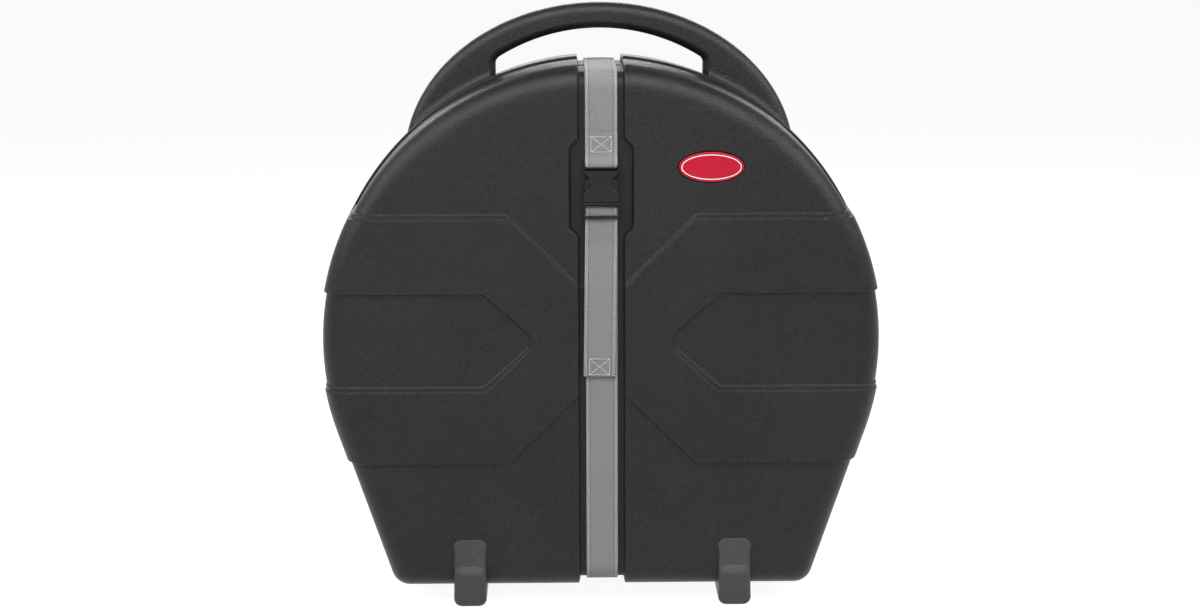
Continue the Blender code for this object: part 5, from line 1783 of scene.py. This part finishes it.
def darken_channel(obj, is_lid):
    """Give the channel's smooth floor its own finish."""
    obj.data.materials.append(CHANNEL_PLASTIC)
    centres = np.zeros(len(obj.data.polygons) * 3)
    obj.data.polygons.foreach_get("center", centres)
    share = channel_share(centres.reshape(-1, 3)[:, [0, 2]], is_lid)
    obj.data.polygons.foreach_set("material_index", (share > 0.55).astype(np.int32))


def build_base():
    base = dress(steady_normals(base_shell()), SHELL, "shell_plastic", "base", "rear_shell")
    darken_channel(base, False)
    dress(lip(), SHELL, "shell_plastic", "base")
    dress(steady_normals(handle()), HANDLE_PLASTIC, "shell_plastic", "base")


def build_lid():
    lid = dress(steady_normals(shell("lid_moulding", True)), SHELL, "shell_plastic", "lid", "lid_shell")
    darken_channel(lid, True)
    # The feet wear the lighter copy of the shell plastic: painted light
    for side, name in ((-1, "foot_left"), (1, "foot_right")):
        dress(steady_normals(foot(side, "front_" + name)), FOOT_PAINTED_LIGHT_PLASTIC, "shell_plastic", "lid")
    dress(badge(), ENAMEL, "badge_red", "lid", "badge_plate")
    dress(badge_ring(), PALE, "badge_red", "lid")


def build_strap():
    dress(strap_rear(), WEBBING, "webbing", "base", "strap_rear_run")
    dress(strap_upper(), WEBBING, "webbing", "lid", "strap_upper_run")
    lower = dress(strap_lower(), WEBBING, "webbing", None, "strap_lower_run")
    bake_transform(lower)
    dress(strap_tail(), WEBBING, "webbing", "buckle", "strap_tail")
    half = 0.012
    upper_box = ((-half, 0.553), (half, 0.571))
    dress(stitches("stitching_upper", upper_box, SEWN_Y), THREAD, "webbing", "lid")
    back_y = LADDER_BAR_Y - LADDER_BAR_R - CLEARANCE + TAIL_SET_BACK
    tail_y = back_y - (1 + HEM_LAYER) * STRAP_THICK
    tail_box = ((-half, TAIL_LOW_Z + 0.0030), (half, TAIL_FOLD_Z - 0.0020))
    dress(stitches("stitching_tail", tail_box, tail_y, turn=lean()), THREAD, "webbing", "buckle")


def build_buckle():
    dress(steady_normals(buckle_socket()), BUCKLE, "buckle_plastic", "lid", "buckle_socket")
    dress(steady_normals(buckle_tongue()), BUCKLE, "buckle_plastic", "buckle", "buckle_tongue")
    for side, name in ((-1, "latch_left"), (1, "latch_right")):
        arm = latch_arm(side, name.replace("latch", "thumb_latch"))
        dress(steady_normals(arm), BUCKLE, "buckle_plastic", name, name.replace("latch", "latch_arm"))


def build_wheels():
    for side, name in ((-1, "left"), (1, "right")):
        body = "wheel_" + name
        dress(tyre(side, "tread_" + name), TREAD, "tread_rubber", body, "wheel_tyre_" + name)
        dress(hub(side, "hub_" + name), HUB_PLASTIC, "hub_plastic", body, "wheel_hub_" + name)
        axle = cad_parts["axle_" + name]
        axle.data.materials.clear()
        axle.data.materials.append(DRAWN)


def build_inside():
    for name, is_lid, body in (("foam_base", False, "base"), ("foam_lid", True, "lid")):
        pad = dress(foam_pad(name.replace("foam", "pad"), is_lid), FOAM, "foam", body, name)
    dress(post(), ZINC, "steel", "base", "centre_post")
    dress(post_flange(), ZINC, "steel", "base", "post_plate")
    for k, (x, z) in enumerate(screw_places(), 1):
        dress(screw(f"flange_screw_{k}", x, z), ZINC, "steel", "base", f"post_screw_{k}")
    lower_y = PLATE_FRONT_Y - COLLAR - CLEARANCE - FELT_THICK
    upper_y = CUP_BASE_Y + CLEARANCE
    dress(round_washer("felt_low", lower_y), FELT, "felt", "base", "felt_lower")
    dress(round_washer("felt_high", upper_y), FELT, "felt", "nut_stack", "felt_upper")
    dress(cup(), ZINC, "steel", "nut_stack", "cup_washer")
    dress(wing_nut(), ZINC, "steel", "nut", "wing_nut")


# Stage, lights and camera

CAMERA_PLACE = Vector((-0.04446, -2.8075, 0.880))
CAMERA_YAW = 0.0157134
CAMERA_PITCH = 0.186737
CAMERA_ROLL = -0.0028583
CAMERA_LENS = 69.2145

# The background's light: its share outside reflections, and how dim it is above and at the sides
AMBIENT = 0.45
CEILING = 0.30
SIDES = 0.18

FLOOR_SIZE = 40
FLOOR_Z = -0.0002
FLOOR_GLOW = 0.93


def build_world():
    """A white background; as light it is white behind the object and dimmer above and at the sides."""
    world = bpy.data.worlds.new("studio")
    world.use_nodes = True
    bpy.context.scene.world = world
    nodes = Nodes(world.node_tree)
    background = nodes.tree.nodes["Background"]
    background.inputs["Color"].default_value = (1, 1, 1, 1)
    split = nodes.add("SeparateXYZ", {0: nodes.add("TexCoord").outputs["Generated"]})
    behind = nodes.fade(split.outputs[1], 0.4, 0.92, SIDES, 1)
    above = nodes.fade(split.outputs[2], 0.5, 0.85, 1, CEILING)
    share = nodes.fade(nodes.ray_is("Glossy"), 0, 1, AMBIENT, 1)
    light = nodes.math("MULTIPLY", nodes.math("MULTIPLY", behind, above), share)
    strength = nodes.math("MAXIMUM", light, nodes.ray_is("Camera", "Transmission"))
    nodes.join(strength, background.inputs["Strength"])


def build_floor():
    """A white floor that keeps a pale shadow."""
    bpy.ops.mesh.primitive_plane_add(size=FLOOR_SIZE, location=(0, 0, FLOOR_Z))
    floor = bpy.context.object
    floor.name = "floor"
    material = bpy.data.materials.new("floor_white")
    material.use_nodes = True
    nodes = Nodes(material.node_tree)
    nodes.tree.nodes.clear()
    matt = nodes.add("BsdfDiffuse", {"Color": (0.7, 0.7, 0.7, 1)}).outputs[0]
    pale = nodes.add("BsdfDiffuse", {"Color": (0.2, 0.2, 0.2, 1)}).outputs[0]
    glow = nodes.add("Emission", {"Strength": FLOOR_GLOW}).outputs[0]
    seen = nodes.add("AddShader", {0: pale, 1: glow}).outputs[0]
    direct = nodes.ray_is("Camera", "Glossy", "Transmission")
    mix = nodes.add("MixShader", {0: direct, 1: matt, 2: seen}).outputs[0]
    nodes.add("OutputMaterial", {"Surface": mix})
    floor.data.materials.append(material)


def add_light(name, place, aim, size, power):
    """A rectangular area light."""
    data = bpy.data.lights.new(name, "AREA")
    data.shape = "RECTANGLE"
    data.size, data.size_y = size
    data.energy = power
    light = add_object(name, data)
    light.location = place
    light.rotation_euler = (Vector(aim) - Vector(place)).to_track_quat("-Z", "Y").to_euler()


def build_camera():
    """The photograph's viewpoint."""
    data = bpy.data.cameras.new("camera")
    data.sensor_fit = "HORIZONTAL"
    data.sensor_width = 36
    data.lens = CAMERA_LENS
    camera = add_object("camera", data)
    turn = Matrix.Rotation(-CAMERA_YAW, 4, "Z") @ Matrix.Rotation(math.pi / 2 - CAMERA_PITCH, 4, "X")
    camera.matrix_world = Matrix.Translation(CAMERA_PLACE) @ turn @ Matrix.Rotation(CAMERA_ROLL, 4, "Z")
    bpy.context.scene.camera = camera


build_base()
build_lid()
build_strap()
build_buckle()
build_wheels()
build_inside()
build_world()
build_floor()
add_light("overhead", (0, -1.45, 2.35), (0, 0, 0.35), (3.6, 1.2), 94)
add_light("front_high", (0, -3.5, 1.5), (0, 0, 0.3), (3.2, 0.75), 28)
add_light("back_high", (0, 3.4, 1.8), (0, 0, 0.35), (3.2, 1.0), 34)
for side_x in (-2.6, 2.6):
    add_light("side_high", (side_x, -0.6, 2.0), (0, 0, 0.35), (2.2, 1.5), 52)
build_camera()
bpy.context.scene.view_settings.view_transform = "Standard"
